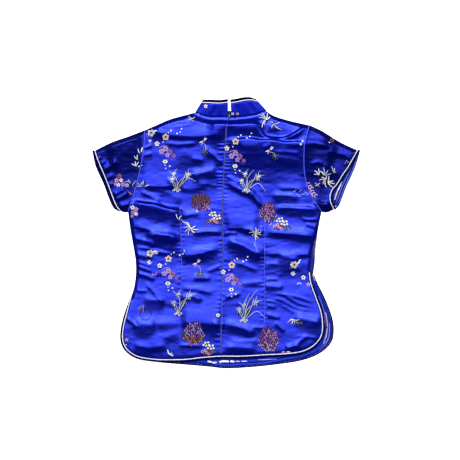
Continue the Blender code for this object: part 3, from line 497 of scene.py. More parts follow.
creases = [
    # left shoulder blade
    (0.9, 5, 4, [(-126, 241), (-100, 245), (-58, 248)]),
    (0.8, 3, 4, [(-121, 235), (-95, 237), (-69, 241)]),
    (2.6, 4, 14, [(-164, 227), (-148, 224), (-128, 221)]),
    (3.2, 26, 8, [(-152, 215), (-100, 214), (-50, 213), (4, 214)]),
    (2.4, 6, 26, [(-34, 243), (-12, 241), (12, 240)]),
    (1.4, 5, 5, [(-140, 198), (-112, 196), (-88, 196), (-60, 199)]),
    (1.3, 3, 4, [(-182, 186), (-171, 190), (-160, 196)]),
    (1.0, 3, 4, [(-182, 171), (-172, 174), (-160, 176)]),
    (1.7, 5, 7, [(-54, 191), (-38, 181), (-22, 168), (-2, 151)]),
    (1.1, 6, 5, [(-78, 164), (-62, 162), (-46, 160)]),
    (3.4, 10, 15, [(-80, 125), (-56, 131), (-36, 136), (-16, 139)]),
    (1.3, 6, 9, [(-134, 118), (-116, 117), (-96, 116)]),
    (3.0, 50, 5, [(-192, 106), (-160, 104), (-122, 103), (-88, 103)]),
    (0.9, 6, 12, [(-196, 98), (-170, 99), (-130, 92)]),
    (2.0, 6, 8, [(-190, 93), (-168, 82), (-140, 66)]),
    (1.3, 10, 13, [(-152, 98), (-126, 88), (-92, 70)]),
    (6.6, 6, 36, [(-216, 71), (-190, 66), (-150, 58), (-112, 49), (-84, 40)]),
    (0.9, 2.5, 3, [(-136, 65), (-118, 60), (-100, 53)]),
    (1.2, 8, 6, [(-62, 106), (-40, 108), (-14, 104)]),
    (1.2, 7, 5, [(-98, 34), (-76, 42), (-52, 44)]),
    # right shoulder, with the deep swag under the yoke
    (0.9, 3, 4, [(10, 250), (40, 250), (76, 252)]),
    (7.4, 4, 34, [(-50, 243), (-20, 242), (10, 242), (52, 240), (92, 236)]),
    (4.4, 4, 8, [(64, 237), (74, 226), (86, 213), (109, 208), (134, 210), (153, 219), (170, 230),
                 (188, 238)]),
    (1.6, 5, 16, [(88, 240), (102, 236), (122, 230)]),
    (5.0, 28, 5, [(128, 199), (150, 201), (190, 199), (236, 191)]),
    (5.0, 10, 105, [(158, 198), (200, 196), (250, 184)]),
    (8.0, 4, 44, [(-4, 203), (40, 205), (76, 204), (128, 199), (176, 197), (202, 196)]),
    (1.0, 5, 4, [(104, 176), (130, 178), (166, 172)]),
    (1.2, 6, 8, [(92, 166), (128, 164), (166, 158)]),
    (1.2, 4, 3, [(80, 189), (91, 191), (102, 195)]),
    # the long pull across the right half
    (3.2, 10, 7, [(-4, 113), (30, 97), (56, 84), (74, 68), (92, 50)]),
    (1.8, 4, 12, [(0, 126), (16, 120), (36, 110)]),
    (1.6, 5, 8, [(24, 98), (46, 96), (68, 88)]),
    # right ribs
    (1.4, 8, 6, [(112, 99), (140, 99), (172, 95)]),
    (2.6, 7, 14, [(98, 83), (130, 83), (168, 79)]),
    (3.0, 5, 14, [(104, 54), (150, 56), (208, 52)]),
    (1.0, 4, 3, [(164, 31), (182, 29), (204, 30)]),
    (1.2, 4, 4, [(172, 21), (188, 17), (205, 12)]),
    (3.3, 48, 6, [(-6, 11), (20, 13), (50, 11), (78, 9)]),
    # waist, left
    (2.6, 16, 4, [(-208, 17), (-176, 9), (-142, -1), (-106, -3)]),
    (5.0, 8, 21, [(-180, -2), (-148, -5), (-120, -8), (-97, -10)]),
    (1.8, 6, 5, [(-206, -9), (-182, -16), (-150, -27)]),
    (1.2, 4, 4, [(-200, -30), (-176, -33), (-140, -42), (-112, -46)]),
    (1.9, 5, 9, [(-202, -46), (-180, -49), (-158, -52)]),
    (1.1, 4, 4, [(-199, -61), (-182, -66), (-162, -74)]),
    (1.4, 4, 4, [(-199, -70), (-182, -76), (-160, -85)]),
    (1.9, 5, 6, [(-200, -85), (-180, -91), (-152, -101)]),
    (0.8, 3, 3, [(-198, -124), (-186, -125), (-170, -126)]),
    (1.4, 5, 4, [(-179, -106), (-160, -127), (-134, -157)]),
    (1.9, 8, 16, [(-184, -144), (-160, -147), (-130, -152)]),
    # waist, middle
    (2.2, 7, 5, [(-76, -2), (-48, 3), (-24, 3), (-4, 3)]),
    (3.6, 14, 12, [(-102, -52), (-74, -48), (-50, -43), (-8, -34)]),
    (1.2, 4, 4, [(-44, -85), (-26, -77), (-8, -71)]),
    (1.3, 8, 8, [(-74, -95), (-54, -97), (-30, -99)]),
    (1.5, 8, 6, [(-102, -118), (-60, -124), (-18, -131)]),
    (2.4, 6, 10, [(-102, -147), (-86, -139), (-72, -137), (-48, -149)]),
    # waist, right
    (1.6, 5, 6, [(-6, 2), (10, 2), (28, 0)]),
    (1.9, 8, 6, [(34, 6), (60, 5), (90, 4)]),
    (3.8, 14, 9, [(82, 3), (126, 1), (170, -4), (206, -8)]),
    (4.8, 12, 14, [(-4, -14), (20, -21), (42, -29), (62, -41), (92, -48)]),
    (1.8, 12, 4, [(82, -45), (112, -46), (142, -47), (198, -49)]),
    (2.8, 8, 24, [(110, -52), (134, -54), (166, -58)]),
    (1.2, 6, 6, [(84, -68), (100, -69), (118, -70)]),
    (1.2, 5, 7, [(16, -62), (46, -72), (74, -84)]),
    (1.1, 7, 8, [(28, -113), (58, -108), (88, -104)]),
    (1.2, 4, 4, [(84, -101), (100, -102), (120, -102)]),
    (2.1, 6, 7, [(82, -116), (104, -117), (130, -120)]),
    (1.3, 5, 4, [(-4, -143), (15, -137), (38, -130)]),
    (0.7, 4, 3, [(96, -130), (126, -136), (156, -152), (196, -164)]),
    (0.8, 4, 3, [(98, -140), (124, -148), (154, -164), (196, -173)]),
    (0.8, 4, 3, [(110, -130), (146, -138), (196, -152)]),
    (0.8, 5, 4, [(120, -158), (146, -172), (178, -178)]),
    (0.9, 4, 3, [(88, -149), (98, -151), (112, -154)]),
    (1.0, 4, 4, [(88, -160), (98, -161), (112, -164)]),
    # tails
    (1.7, 3, 5, [(-221, -182), (-208, -194), (-192, -208)]),
    (3.8, 12, 33, [(-206, -198), (-178, -200), (-146, -200)]),
    (1.7, 12, 12, [(-156, -200), (-128, -199), (-98, -199)]),
    (1.5, 10, 14, [(-172, -243), (-150, -234), (-126, -227), (-94, -216)]),
    (2.0, 10, 9, [(-208, -245), (-184, -250), (-158, -251), (-126, -246)]),
    (1.2, 5, 5, [(-106, -247), (-78, -247), (-48, -250)]),
    (4.6, 46, 16, [(-106, -194), (-70, -196), (-36, -199), (2, -202)]),
    (2.0, 10, 7, [(-34, -199), (-14, -201), (4, -201)]),
    (3.1, 12, 12, [(-8, -200), (22, -204), (46, -213), (66, -228)]),
    (1.4, 5, 9, [(6, -233), (40, -237), (74, -236)]),
    (2.4, 10, 12, [(-8, -249), (30, -251), (70, -256)]),
    (1.0, 4, 4, [(56, -206), (72, -207), (90, -208)]),
    (1.6, 5, 6, [(88, -178), (104, -182), (122, -187)]),
    (1.4, 4, 5, [(106, -194), (118, -204), (132, -216)]),
    (3.2, 9, 14, [(146, -188), (172, -188), (214, -199)]),
    (1.8, 5, 6, [(142, -250), (160, -239), (184, -223)]),
    (2.4, 6, 10, [(128, -250), (146, -249), (166, -247)]),
    (0.8, 4, 3, [(150, -228), (172, -226), (204, -232)]),
    # left sleeve, with the gathers at its cuff
    (5.2, 10, 58, [(-268, 184), (-240, 193), (-215, 202), (-180, 212)]),
    (2.0, 3, 4, [(-286, 161), (-281, 164), (-275, 168)]),
    (2.2, 4, 5, [(-276, 152), (-270, 156), (-263, 161)]),
    (3.6, 8, 6, [(-274, 136), (-256, 148), (-236, 160)]),
    (2.5, 5, 5, [(-264, 117), (-254, 123), (-244, 129)]),
    (1.9, 4, 4, [(-257, 104), (-251, 107), (-244, 111)]),
    (2.8, 6, 5, [(-249, 83), (-236, 90), (-220, 99)]),
    (2.9, 6, 5, [(-244, 71), (-230, 80), (-212, 91)]),
    (2.8, 7, 5, [(-236, 58), (-220, 63), (-202, 67)]),
    # right sleeve
    (2.4, 14, 7, [(220, 180), (245, 176), (284, 158)]),
    (1.4, 4, 4, [(186, 150), (203, 157), (214, 150)]),
    (3.2, 5, 6, [(194, 74), (204, 66), (217, 63), (232, 67)]),
]
# seam, where its gathers start and stop, their pitch, reach on each side and height
gathers = [
    (centreBack, 208, 62, 8.0, 13, 1.5),
    (centreBack, 62, -262, 10.2, 10, 0.8),
    (dartLeft, 56, -186, 9.6, 9, 0.8),
    (dartRight, 30, -200, 9.2, 10, 0.8),
]
gatherLook = {
    "wander": ((1.9, 17.0), (1.3, 7.3)),   # how far the puckers stray, and over what length
    "height": (0.62, 0.38, 0.093),         # even and uneven share, and how fast it changes
    "endRun": 14,
    "atSeam": (0.2, 4),      # share of the height at the seam itself, and how far in that is felt
    "rightShare": 0.7,
}
# size across, size down, height and seed of the cloth's unevenness, slow to quick
ripples = [(78, 34, 0.85, 3), (30, 11, 0.21, 5), (13, 5, 0.12, 8)]


def creaseHeight(points, height, above, below, line):
    path = smoothPath(line, 8)
    reach = lay["creaseReach"] * max(above, below)
    low, high = path.min(axis=0) - reach, path.max(axis=0) + reach
    near = np.all((points > low) & (points < high), axis=1)
    total = np.zeros(len(points))
    if not near.any():
        return total
    _, side, along = nearestOn(points[near], path)
    side = side + rippleHeight(points[near], *lay["creaseWander"])
    length = lengthsAlong(path)[-1]
    least, most = (length * share for share in lay["fadeShares"])
    share, widest = lay["fadeWidth"]
    run = min(most, max(least, share * min(widest, max(above, below))))
    fade = smooth(along / run) * smooth((length - along) / run)
    climb = np.exp(-(side / above) ** 2)
    fall = np.exp(-(np.maximum(-side, 0) / below) ** lay["creaseFall"])
    total[near] = height * fade * np.where(side > 0, climb, fall)
    return total


def gatherHeight(points, seam, top, bottom, pitch, reach, height):
    look = gatherLook
    path = smoothPath(seam)
    across = points[:, 0] - xOn(path, points[:, 1])
    down = top - points[:, 1]
    step = np.where(across < 0, 0.0, math.pi)
    (slow, slowLength), (quick, quickLength) = look["wander"]
    wander = slow * np.sin(down / slowLength + step) + quick * np.sin(down / quickLength + 2 * step)
    waves = 0.5 + 0.5 * np.cos(2 * math.pi * (down + wander) / pitch + step)
    even, odd, rate = look["height"]
    uneven = even + odd * np.sin(rate * down + 0.7 * step)
    ends = smooth(down / look["endRun"]) * smooth((top - bottom - down) / look["endRun"])
    least, room = look["atSeam"]
    fade = np.exp(-(across / reach) ** 2) * (least + (1 - least) * smooth(np.abs(across) / room))
    return height * ends * uneven * fade * waves * np.where(across < 0, 1.0, look["rightShare"])


def rippleHeight(points, across, down, height, seed):
    knots = np.random.default_rng(seed).standard_normal((96, 160))
    u, v = points[:, 0] / across + 48, points[:, 1] / down + 80
    i, j = np.floor(u).astype(int), np.floor(v).astype(int)
    s, t = smooth(u - i), smooth(v - j)
    i, j = i % 95, j % 159
    low = knots[i, j] * (1 - s) + knots[i + 1, j] * s
    high = knots[i, j + 1] * (1 - s) + knots[i + 1, j + 1] * s
    return height * (low * (1 - t) + high * t)


sewnEdges = [smoothPath(line, 10) for line in (
    shoulderLeft, sleeveTopLeft, sleeveFootLeft, sideLeft,
    shoulderRight, sleeveTopRight, sleeveFootRight)]
rolledEdge = smoothPath(rolledSeamRight, 10)
neckline = np.concatenate([smoothPath(neckLeft)[::-1], smoothPath(neckRight)])
backHem = np.concatenate([smoothPath(backHemLeft, 10), smoothPath(backHemRight, 10)])
grooves = [smoothPath(dartLeft), smoothPath(dartRight), smoothPath(centreBack)]


def clothTop(points):
    # height of the back's face, and of the face of the sleeves' upper walls
    points = np.asarray(points, float)[:, :2]
    up = points[:, 1]
    toEdge = np.min([distanceTo(points, edge) for edge in sewnEdges], axis=0)
    toEdge = np.minimum(toEdge, lay["lipSeam"] + distanceTo(points, rolledEdge))
    toHem = distanceTo(points, backHem)
    offNeck = smooth((distanceTo(points, neckline) - lay["neckSeam"]) / lay["neckRoom"])
    offGathers = smooth(toEdge / lay["gatherRoom"])
    calm = 1 - lay["tailCalm"] * smooth((lay["calmFrom"][0] - up) / lay["calmFrom"][1])
    folds = sum(creaseHeight(points, *crease) for crease in creases) * lay["creaseScale"]
    folds += lay["loft"] + calm * sum(rippleHeight(points, *ripple) for ripple in ripples)
    folds = 0.5 * (folds + np.sqrt(folds ** 2 + lay["softness"]))
    folds *= offNeck * (lay["hemHold"] + (1 - lay["hemHold"]) * smooth(toHem / lay["hemFall"]))
    folds += sum(gatherHeight(points, *gather) for gather in gathers) * offGathers
    folds -= lay["hemSink"] * (1 - smooth(toHem / lay["hemRoom"]))
    folds += lay["collarLift"] * smooth((up - lay["liftFrom"][0]) / lay["liftFrom"][1]) * offNeck
    roll = np.clip(toEdge / lay["edgeRound"], 0, 1)
    top = lay["seam"] + (lay["rest"] - lay["seam"]) * np.sqrt(roll * (2 - roll))
    top += folds * smooth(toEdge / lay["seamRoom"])
    for groove in grooves:
        top -= lay["seamGroove"] * np.exp(-(distanceTo(points, groove) / lay["grooveWidth"]) ** 2)
    top += lay["hemRise"] * smooth((lay["riseFrom"][0] - up) / lay["riseFrom"][1]) * offGathers
    over = np.maximum(top - lay["tall"], 0)
    top = np.minimum(top, lay["tall"]) + lay["spare"] * (1 - np.exp(-over / lay["spare"]))
    return np.maximum(top, lay["seam"])


# Mesh makers

carriers = []            # faces that the woven flowers lie on


def carry(rows, lift=0.0):
    rows = np.asarray(rows, float)
    carriers.append((rows.reshape(-1, 3) + [0, 0, lift], gridFaces(*rows.shape[:2])))


def raised(line, height):
    return np.column_stack([line, height])


def addMesh(name, points, faces, look, smoothed=True):
    data = bpy.data.meshes.new(name)
    data.from_pydata((np.asarray(points, float) * mm).tolist(), [], [[int(k) for k in f] for f in faces])
    data.validate()
    flat = data.uv_layers.new(name="cut")        # the weft runs along X
    corners = np.array([data.vertices[loop.vertex_index].co[:2] for loop in data.loops])
    flat.data.foreach_set("uv", corners.ravel())
    if smoothed:
        data.shade_smooth()
    data.materials.append(look)
    made = bpy.data.objects.new(name, data)
    bpy.context.scene.collection.objects.link(made)
    return made


def thicken(piece, thickness, offset=-1):
    wall = piece.modifiers.new("Cloth", "SOLIDIFY")
    wall.thickness = thickness * mm
    wall.offset = offset
    return piece


def gridFaces(rows, columns, closed=False):
    return [
        (row * columns + k, row * columns + (k + 1) % columns,
         (row + 1) * columns + (k + 1) % columns, (row + 1) * columns + k)
        for row in range(rows - 1)
        for k in range(columns if closed else columns - 1)
    ]


def loft(name, rows, look, closed=False):
    # a surface through rows of points, its first face looking up
    rows = np.asarray(rows, float)
    faces = gridFaces(len(rows), len(rows[0]), closed)
    points = rows.reshape(-1, 3)
    a, b, c = (points[faces[0][k]] for k in (0, 1, 2))
    if np.cross(b - a, c - b)[2] <= 0:
        faces = [face[::-1] for face in faces]
    return addMesh(name, points, faces, look)


def staggered(outline, step):
    # points in offset rows over the outline's box
    low, high = outline.min(axis=0), outline.max(axis=0)
    rowHeight = 0.87        # of the step, for nearly even triangles
    return np.array([
        (x + step / 2 * (k % 2), y)
        for k, y in enumerate(np.arange(low[1], high[1], step * rowHeight))
        for x in np.arange(low[0], high[0], step)
    ])


def sheetFaces(outline, step, rows):
    # triangles over an outline, with rows of points that follow its seams
    gridRoom, rowRoom, apart = step * 0.6, 0.35, step * 0.5
    closed = np.concatenate([outline, outline[:1]])
    grid = staggered(outline, step)
    grid = grid[inside(grid, outline) & (distanceTo(grid, closed) > gridRoom)]
    rows = np.concatenate(rows)
    rows = rows[inside(rows, outline)]
    rows = rows[distanceTo(rows, closed) > rowRoom]
    cell = {}
    for p in rows:
        cell.setdefault((int(p[0] // step), int(p[1] // step)), []).append(p)
    kept = []
    for p in grid:
        i, j = int(p[0] // step), int(p[1] // step)
        near = [q for di in (-1, 0, 1) for dj in (-1, 0, 1) for q in cell.get((i + di, j + dj), ())]
        if all((p[0] - q[0]) ** 2 + (p[1] - q[1]) ** 2 > apart ** 2 for q in near):
            kept.append(p)
    flat = [Vector(p) for p in np.concatenate([outline, rows, np.array(kept)])]
    border = [(k, (k + 1) % len(outline)) for k in range(len(outline))]
    corners, _, faces, *_ = delaunay_2d_cdt(flat, border, [], 1, 1e-5)
    return np.array([corner[:] for corner in corners]), faces


def sewOn(piece, slot, *nodes):
    # all cloth rides on the garment's one body
    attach(piece, "garment")
    if nodes:
        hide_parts(*nodes)
    return piece


def layCloth(name, rows, look, thickness, slot, *nodes, closed=False, offset=-1):
    return sewOn(thicken(loft(name, rows, look, closed), thickness, offset), slot, *nodes)


def cord(name, path, radius, look, slot, *nodes, closed=False):
    line = bpy.data.curves.new(name, "CURVE")
    line.dimensions = "3D"
    line.bevel_depth = radius * mm
    line.bevel_resolution = 3
    line.use_fill_caps = not closed
    spline = line.splines.new("POLY")
    spline.points.add(len(path) - 1)
    for point, place in zip(spline.points, path):
        point.co = (*(Vector(place) * mm), 1.0)
    spline.use_cyclic_u = closed
    spline.use_smooth = True
    made = bpy.data.objects.new(name, line)
    made.data.materials.append(look)
    bpy.context.scene.collection.objects.link(made)
    return sewOn(made, slot, *nodes)


def stitches(name, paths, pitch, length, radius, look):
    # a row of short raised stitches along each path
    profile = ((0, 0.35), (0.3, 1), (0.7, 1), (1, 0.35))      # share of the length, of the radius
    up = np.array([0, 0, 1.0])
    points, faces = [], []
    for path in paths:
        total = lengthsAlong(path)[-1]
        for start in np.arange(0.5, total - length, pitch):
            a, b = atLengths(path, [start, start + length])
            ahead = (b - a) / max(np.linalg.norm(b - a), 1e-6)
            across = np.cross(up, ahead)
            base = len(points)
            for share, size in profile:
                place = a + (b - a) * share
                points += [place + way * radius * size for way in (-across, up, across)]
            for k in range(len(profile) - 1):
                for corner in (base + 3 * k, base + 3 * k + 1):
                    faces.append((corner, corner + 3, corner + 4, corner + 1))
    return sewOn(addMesh(name, points, faces, look), "satin")


# Back, in two halves

backLook = {
    "step": 2.5,                  # spacing of the points, mm
    "seamRows": (0.7, 1.6, 3.0, 4.8, 7.0),
    "pleatRows": (0.8, 1.8, 3.0, 4.6, 6.4, 8.4, 10.6, 13.0),
    "dartRows": 6,                # of the pleat rows, on each side of a dart
    "pleatStep": 1.7,
    "thickness": 0.5,
    "zipHalfGap": 0.2,
    "seamHalfGap": 0.12,
    "zipEnd": 62.0,
    "centreDip": (0.2, 0.9),      # depth and width
    "pipingRoom": 1.0,            # from the hem's line to the cloth's edge
    "armholeRoom": 0.1,
    "stitchInset": 0.9,
    "stitchPitch": 2.6,
    "stitchLength": 2.2,
    "stitchRadius": 0.5,
    "stitchLift": 0.05,
}
# seam, where its stitches start and stop, and their rows as shares of the inset
stitchedSeams = [
    (centreBack, 244, -266, (-1, 1)),
    (dartLeft, 60, -190, (0.25,)),
    (dartRight, 34, -206, (0.25,)),
]


def backHalf(name, side, neck, shoulder, armhole, seam, hem):
    look = backLook
    middle = smoothPath(centreBack, look["pleatStep"])
    centre = middle.copy()
    closing = smooth((look["zipEnd"] + 4 - centre[:, 1]) / 10)
    centre[:, 0] += side * (look["zipHalfGap"] + (look["seamHalfGap"] - look["zipHalfGap"]) * closing)
    centre[-1, 1] += look["pipingRoom"]
    hemEdge = shifted(smoothPath(hem, 2.5), look["pipingRoom"])
    sewn = [smoothPath(line, 2.2) for line in (shoulder, seam)]
    outline = joined(
        centre[::-1], smoothPath(neck, 2.5)[1:], sewn[0][1:-1],
        shifted(smoothPath(armhole, 2.5), -side * look["armholeRoom"]), sewn[1][1:-1],
        hemEdge[:-1] if side < 0 else hemEdge[:0:-1])
    rows = [shifted(line, way * room) for line in sewn for room in look["seamRows"] for way in (-1, 1)]
    rows += [shifted(middle, side * room) for room in look["pleatRows"]]
    beside = look["pleatRows"][:look["dartRows"]]
    for dart in (dartLeft, dartRight):
        line = smoothPath(dart, look["pleatStep"])
        rows += [shifted(line, room * way) for room in beside for way in (-1, 1)]
        rows.append(line)
    plane, faces = sheetFaces(outline, look["step"], rows)
    dip, width = look["centreDip"]
    points = raised(plane, clothTop(plane) - dip * np.exp(-(distanceTo(plane, centre) / width) ** 2))
    carriers.append((points, faces))
    shell = addMesh(f"{name}_shell", points, faces, finishes["body"])
    return sewOn(thicken(shell, look["thickness"]), "satin", name)


def seamStitches():
    look = backLook
    paths = []
    for seam, top, bottom, ways in stitchedSeams:
        line = smoothPath(seam, 1.5)
        line = line[(line[:, 1] < top) & (line[:, 1] > bottom)]
        for way in ways:
            side = shifted(line, way * look["stitchInset"])
            paths.append(raised(side, clothTop(side) + look["stitchLift"]))
    stitches("seam_stitches", paths, look["stitchPitch"], look["stitchLength"], look["stitchRadius"],
             finishes["stitching"])


backLeft = backHalf("back_left", -1, neckLeft, shoulderLeft, armholeLeft, sideLeft, backHemLeft)
backRight = backHalf("back_right", 1, neckRight, shoulderRight, armholeRight, rolledSeamRight, backHemRight)
print("back made,", sum(len(faces) for _, faces in carriers), "faces")
seamStitches()

# Front, flat on the table under the back, with a lip that rolls up past the right side seam

frontLook = {
    "step": 5.0,
    "thickness": 0.45,
    "hemRoom": 1.2,
    "hemRows": (4, 7, 10.5, 14, 18),
    "lipRows": (0.02, 0.3, 0.55, 0.8, 0.93),     # shares of the lip's width
    "lipLeast": 3.0,         # the rows stop where it is narrower
    "lipRise": 3.4,
    "lipRoll": 3.5,          # mm over which it rises
    "waveHeight": 0.5,       # of its free hem
    "waveReach": 16.0,
    "waves": ((0.6, 19.0, 0.0), (0.4, 8.3, 1.0)),    # share, length and start of each
    "clothWave": 0.8,        # share of the waves that the cloth and its facing take
    "trimWave": 0.5,         # and its piping and binding
    "pipingRadius": 0.7,
    "bindingStart": 0.75,
    "bindingWidth": 3.2,
    "bindingLift": 0.75,
    "bindingDome": 0.6,
    "bindingPull": 0.1,
    "facingWidth": 17.0,
    "facingStart": 12.0,     # from the slits' tops
    "facingInset": -0.6,
    "facingLift": 1.15,
}


def hemWave(points):
    along = points[:, 0] + 0.7 * points[:, 1]
    swell = 0.8 + sum(share * np.sin(along / length + start) for share, length, start in frontLook["waves"])
    reach = distanceTo(points, smoothPath(frontHem, 12))
    return frontLook["waveHeight"] * swell * np.exp(-(reach / frontLook["waveReach"]) ** 2)


def frontHeight(points):
    look = frontLook
    seam, outer = smoothPath(rolledSeamRight), smoothPath(sideRight)
    past = points[:, 0] - xOn(seam, points[:, 1])
    beside = (points[:, 1] < seam[0, 1]) & (points[:, 1] > seam[-1, 1]) & (past > 0)
    roll = smooth(past / look["lipRoll"]) * smooth(distanceTo(points, outer) / look["lipRoll"])
    return np.where(beside, look["lipRise"] * roll, 0) + look["clothWave"] * hemWave(points)


def frontSheet():
    look = frontLook
    hem, lip = smoothPath(frontHem, 4), smoothPath(sideRight, 3)
    outline = joined(
        smoothPath(frontNeckLeft)[:0:-1], smoothPath(shoulderLeft)[1:-1], smoothPath(armholeLeft)[:-1],
        smoothPath(sideLeft)[:-1], shifted(hem, look["hemRoom"]), smoothPath(sideRight)[-2:0:-1],
        smoothPath(armholeRight)[:0:-1], smoothPath(shoulderRight)[-2:0:-1], smoothPath(frontNeckRight)[:-1])
    seam = smoothPath(rolledSeamRight)
    wide = lip[lip[:, 0] - xOn(seam, lip[:, 1]) > look["lipLeast"]]
    inner = xOn(seam, wide[:, 1])
    rows = [shifted(hem, room) for room in look["hemRows"]]
    rows += [raised(inner + (wide[:, 0] - inner) * share, wide[:, 1]) for share in look["lipRows"]]
    plane, faces = sheetFaces(outline, look["step"], rows)
    points = raised(plane, frontHeight(plane))
    carriers.append((points + [0, 0, look["thickness"]], faces))
    shell = addMesh("front_shell", points, faces, finishes["reverse"])
    return sewOn(thicken(shell, look["thickness"], 1), "satin", "front_panel")


frontShell = frontSheet()
print("front made")

# Piping and bias binding of the hems

hemLook = {
    "pipingRadius": 0.95,
    "pipingSink": 0.25,      # of the cord's middle under the cloth's face
    "bindingStart": 0.9,     # beside the cloth's edge
    "bindingWidth": 4.4,
    "bindingSink": 0.75,
    "bindingDome": 0.7,      # how far it swells in its middle
    "bindingPull": 0.12,     # height of its slanting pulls
    "bindingThickness": 0.45,
    "leastWidth": 0.35,      # share of the binding's width at the top of a slit
    "taperLength": 45.0,
    "pullPitch": 4.6,
}


def slitTaper(line):
    lengths = lengthsAlong(line)
    ends = smooth(np.minimum(lengths, lengths[-1] - lengths) / hemLook["taperLength"])
    return hemLook["leastWidth"] + (1 - hemLook["leastWidth"]) * ends


def bias(name, line, start, width, height, dome, pull, node):
    # a folded strip beside a seam, a little fuller in the middle, with its pulls slanting across
    turns = lengthsAlong(line) * 2 * math.pi / hemLook["pullPitch"]
    rows = []
    for share in np.linspace(0, 1, 6):
        swell = dome * math.sin(math.pi * (0.12 + 0.88 * share)) ** 0.7
        tug = pull * np.sin(turns + 2.2 * share) * math.sin(math.pi * share)
        rows.append(raised(shifted(line, -(start + width * share)), height + swell + tug))
    # the bias's finish is painted shade
    layCloth(name, rows, finishes["binding"], hemLook["bindingThickness"], "binding", node)


hemLine = joined(smoothPath(backHemLeft, 2.2), smoothPath(backHemRight, 2.2))
hemTop = clothTop(hemLine)
cord("back_hem_piping", raised(hemLine, hemTop - hemLook["pipingSink"]), hemLook["pipingRadius"],
     finishes["piping"], "piping", "hem_piping_back")
bias("back_hem_binding", hemLine, hemLook["bindingStart"], hemLook["bindingWidth"] * slitTaper(hemLine),
     hemTop - hemLook["bindingSink"], hemLook["bindingDome"], hemLook["bindingPull"], "hem_binding_back")
frontLine = smoothPath(frontHem, 2.6)
frontTop = frontLook["trimWave"] * hemWave(frontLine)
# the front's piping wears the dark bias finish: painted shade along the hem's outer edge
cord("front_hem_piping", raised(frontLine, frontTop + frontLook["pipingRadius"]), frontLook["pipingRadius"],
     finishes["binding"], "piping", "hem_piping_front")
bias("front_hem_binding", frontLine, frontLook["bindingStart"],
     frontLook["bindingWidth"] * slitTaper(frontLine), frontTop + frontLook["bindingLift"],
     frontLook["bindingDome"], frontLook["bindingPull"], "hem_binding_front")


facingLook = {
    "rows": 22,
    "thickness": 0.35,
    "ridges": 2.3,           # across the strip
    "ridgeDrift": ((0.3, 47.0), (0.12, 15.0)),   # how far they stray, and over what length
    "waveShare": 0.4,        # of the ridges' height
    "waveLength": 6.1,
    "waveSlant": 3.0,
    "edgeShare": 0.25,       # of the width, over which the ridges start
}


def facingStrip(name, line, start, width, base, ripple, node):
    # a bias strip on the wrong side, pulled into shallow ridges that run along it
    look = facingLook
    along = lengthsAlong(line)
    drift = sum(far * np.sin(along / length) for far, length in look["ridgeDrift"])
    rows = []
    for share in np.linspace(0, 1, look["rows"]):
        pulls = ripple * np.sin(math.pi * (look["ridges"] * share + drift)) ** 2
        slanting = 0.5 + 0.5 * np.sin(along / look["waveLength"] + look["waveSlant"] * share)
        height = (pulls + look["waveShare"] * ripple * slanting) * min(1.0, share / look["edgeShare"])
        rows.append(raised(shifted(line, start + width * share), base + height))
    carry(rows)
    return layCloth(name, rows, finishes["facing"], look["thickness"], "satin", node)


fromStart = lengthsAlong(frontLine)
fromEnds = np.minimum(fromStart, fromStart[-1] - fromStart)
facingLine = frontLine[fromEnds > frontLook["facingStart"]]
facingBase = frontLook["facingLift"] + frontLook["clothWave"] * hemWave(facingLine)
hemFacing = facingStrip("front_hem_facing", facingLine, frontLook["facingInset"], frontLook["facingWidth"],
                        facingBase, 1.9, "hem_facing_front")
print("hems made")

# Sleeves, flattened tubes

sleeveLook = {
    "columns": 92,           # points from the shoulder fold to the foot
    "lowerColumns": 40,
    "rows": 44,
    "headRows": (0, 0.012, 0.025, 0.04, 0.06),   # closer rows at the sleeve's head
    "foldPoints": 5,
    "thickness": 0.5,
    "armholeRoom": 0.1,
    "pipingRadius": 0.9,
    "bindingStart": 1.8,
    "bindingWidth": 4.6,
    "leastSquare": 0.6,      # keeps a slanting cuff from running out too far
    "facingInset": 6.2,      # of the facing's outer edge, past the cuff's line
    "facingWidth": 12.0,
    "facingLevel": 2.0,
    "seamRoll": 0.9,         # height of the sleeve head's roll beside the armhole
    "rollMiddle": 1.9,       # how far from the seam it is highest
    "rollWidth": 1.5,
    "rollEnds": 0.05,        # share of the armhole over which the roll dies away at each end
    "lowerFace": 0.55,       # height of the lower wall's inside
    "pipingStart": 0.9,      # past the cuff's line
    "pipingLift": -0.5,
    "leastMouth": 1.6,       # the cuff's upper edge lies at least this high
    "bindingDome": 0.55,
    "bindingThickness": 0.45,
    "weltRadius": 1.1,
    "weltLift": 0.5,
}


def foldRound(edge, outward, high, low):
    radius = (high - low) / 2
    outward = outward / np.linalg.norm(outward)
    count = sleeveLook["foldPoints"]
    turns = [math.pi * k / (count + 1) for k in range(1, count + 1)]
    return [(*(edge + outward * radius * math.sin(t)), low + radius + radius * math.cos(t)) for t in turns]


def ringOf(upper, high, lower, low):
    # once round a flattened tube, over the top and back underneath
    points = [(*p, z) for p, z in zip(upper, high)]
    points += foldRound(upper[-1], upper[-1] - upper[-2], high[-1], low)
    points += [(*p, low) for p in lower[::-1]]
    points += foldRound(upper[0], upper[0] - upper[1], high[0], low)[::-1]
    return points


def sleeveWall(armhole, top, foot, cuff, side, columns, shares):
    # lines from the armhole's to the cuff's, each held at the sleeve's top and foot edges
    start = evenly(shifted(smoothPath(armhole, 2), side * sleeveLook["armholeRoom"]), columns)
    end = evenly(smoothPath(cuff, 2), columns)
    edges = [smoothPath(edge, 2) for edge in (top, foot)]
    topEdge, footEdge = (atLengths(edge, shares * lengthsAlong(edge)[-1]) for edge in edges)
    down = np.linspace(0, 1, columns)[:, None]
    lines = []
    for row, share in enumerate(shares):
        line = start + (end - start) * share
        if row:
            line = line + (topEdge[row] - line[0]) * (1 - down) + (footEdge[row] - line[-1]) * down
        lines.append(line)
    return lines


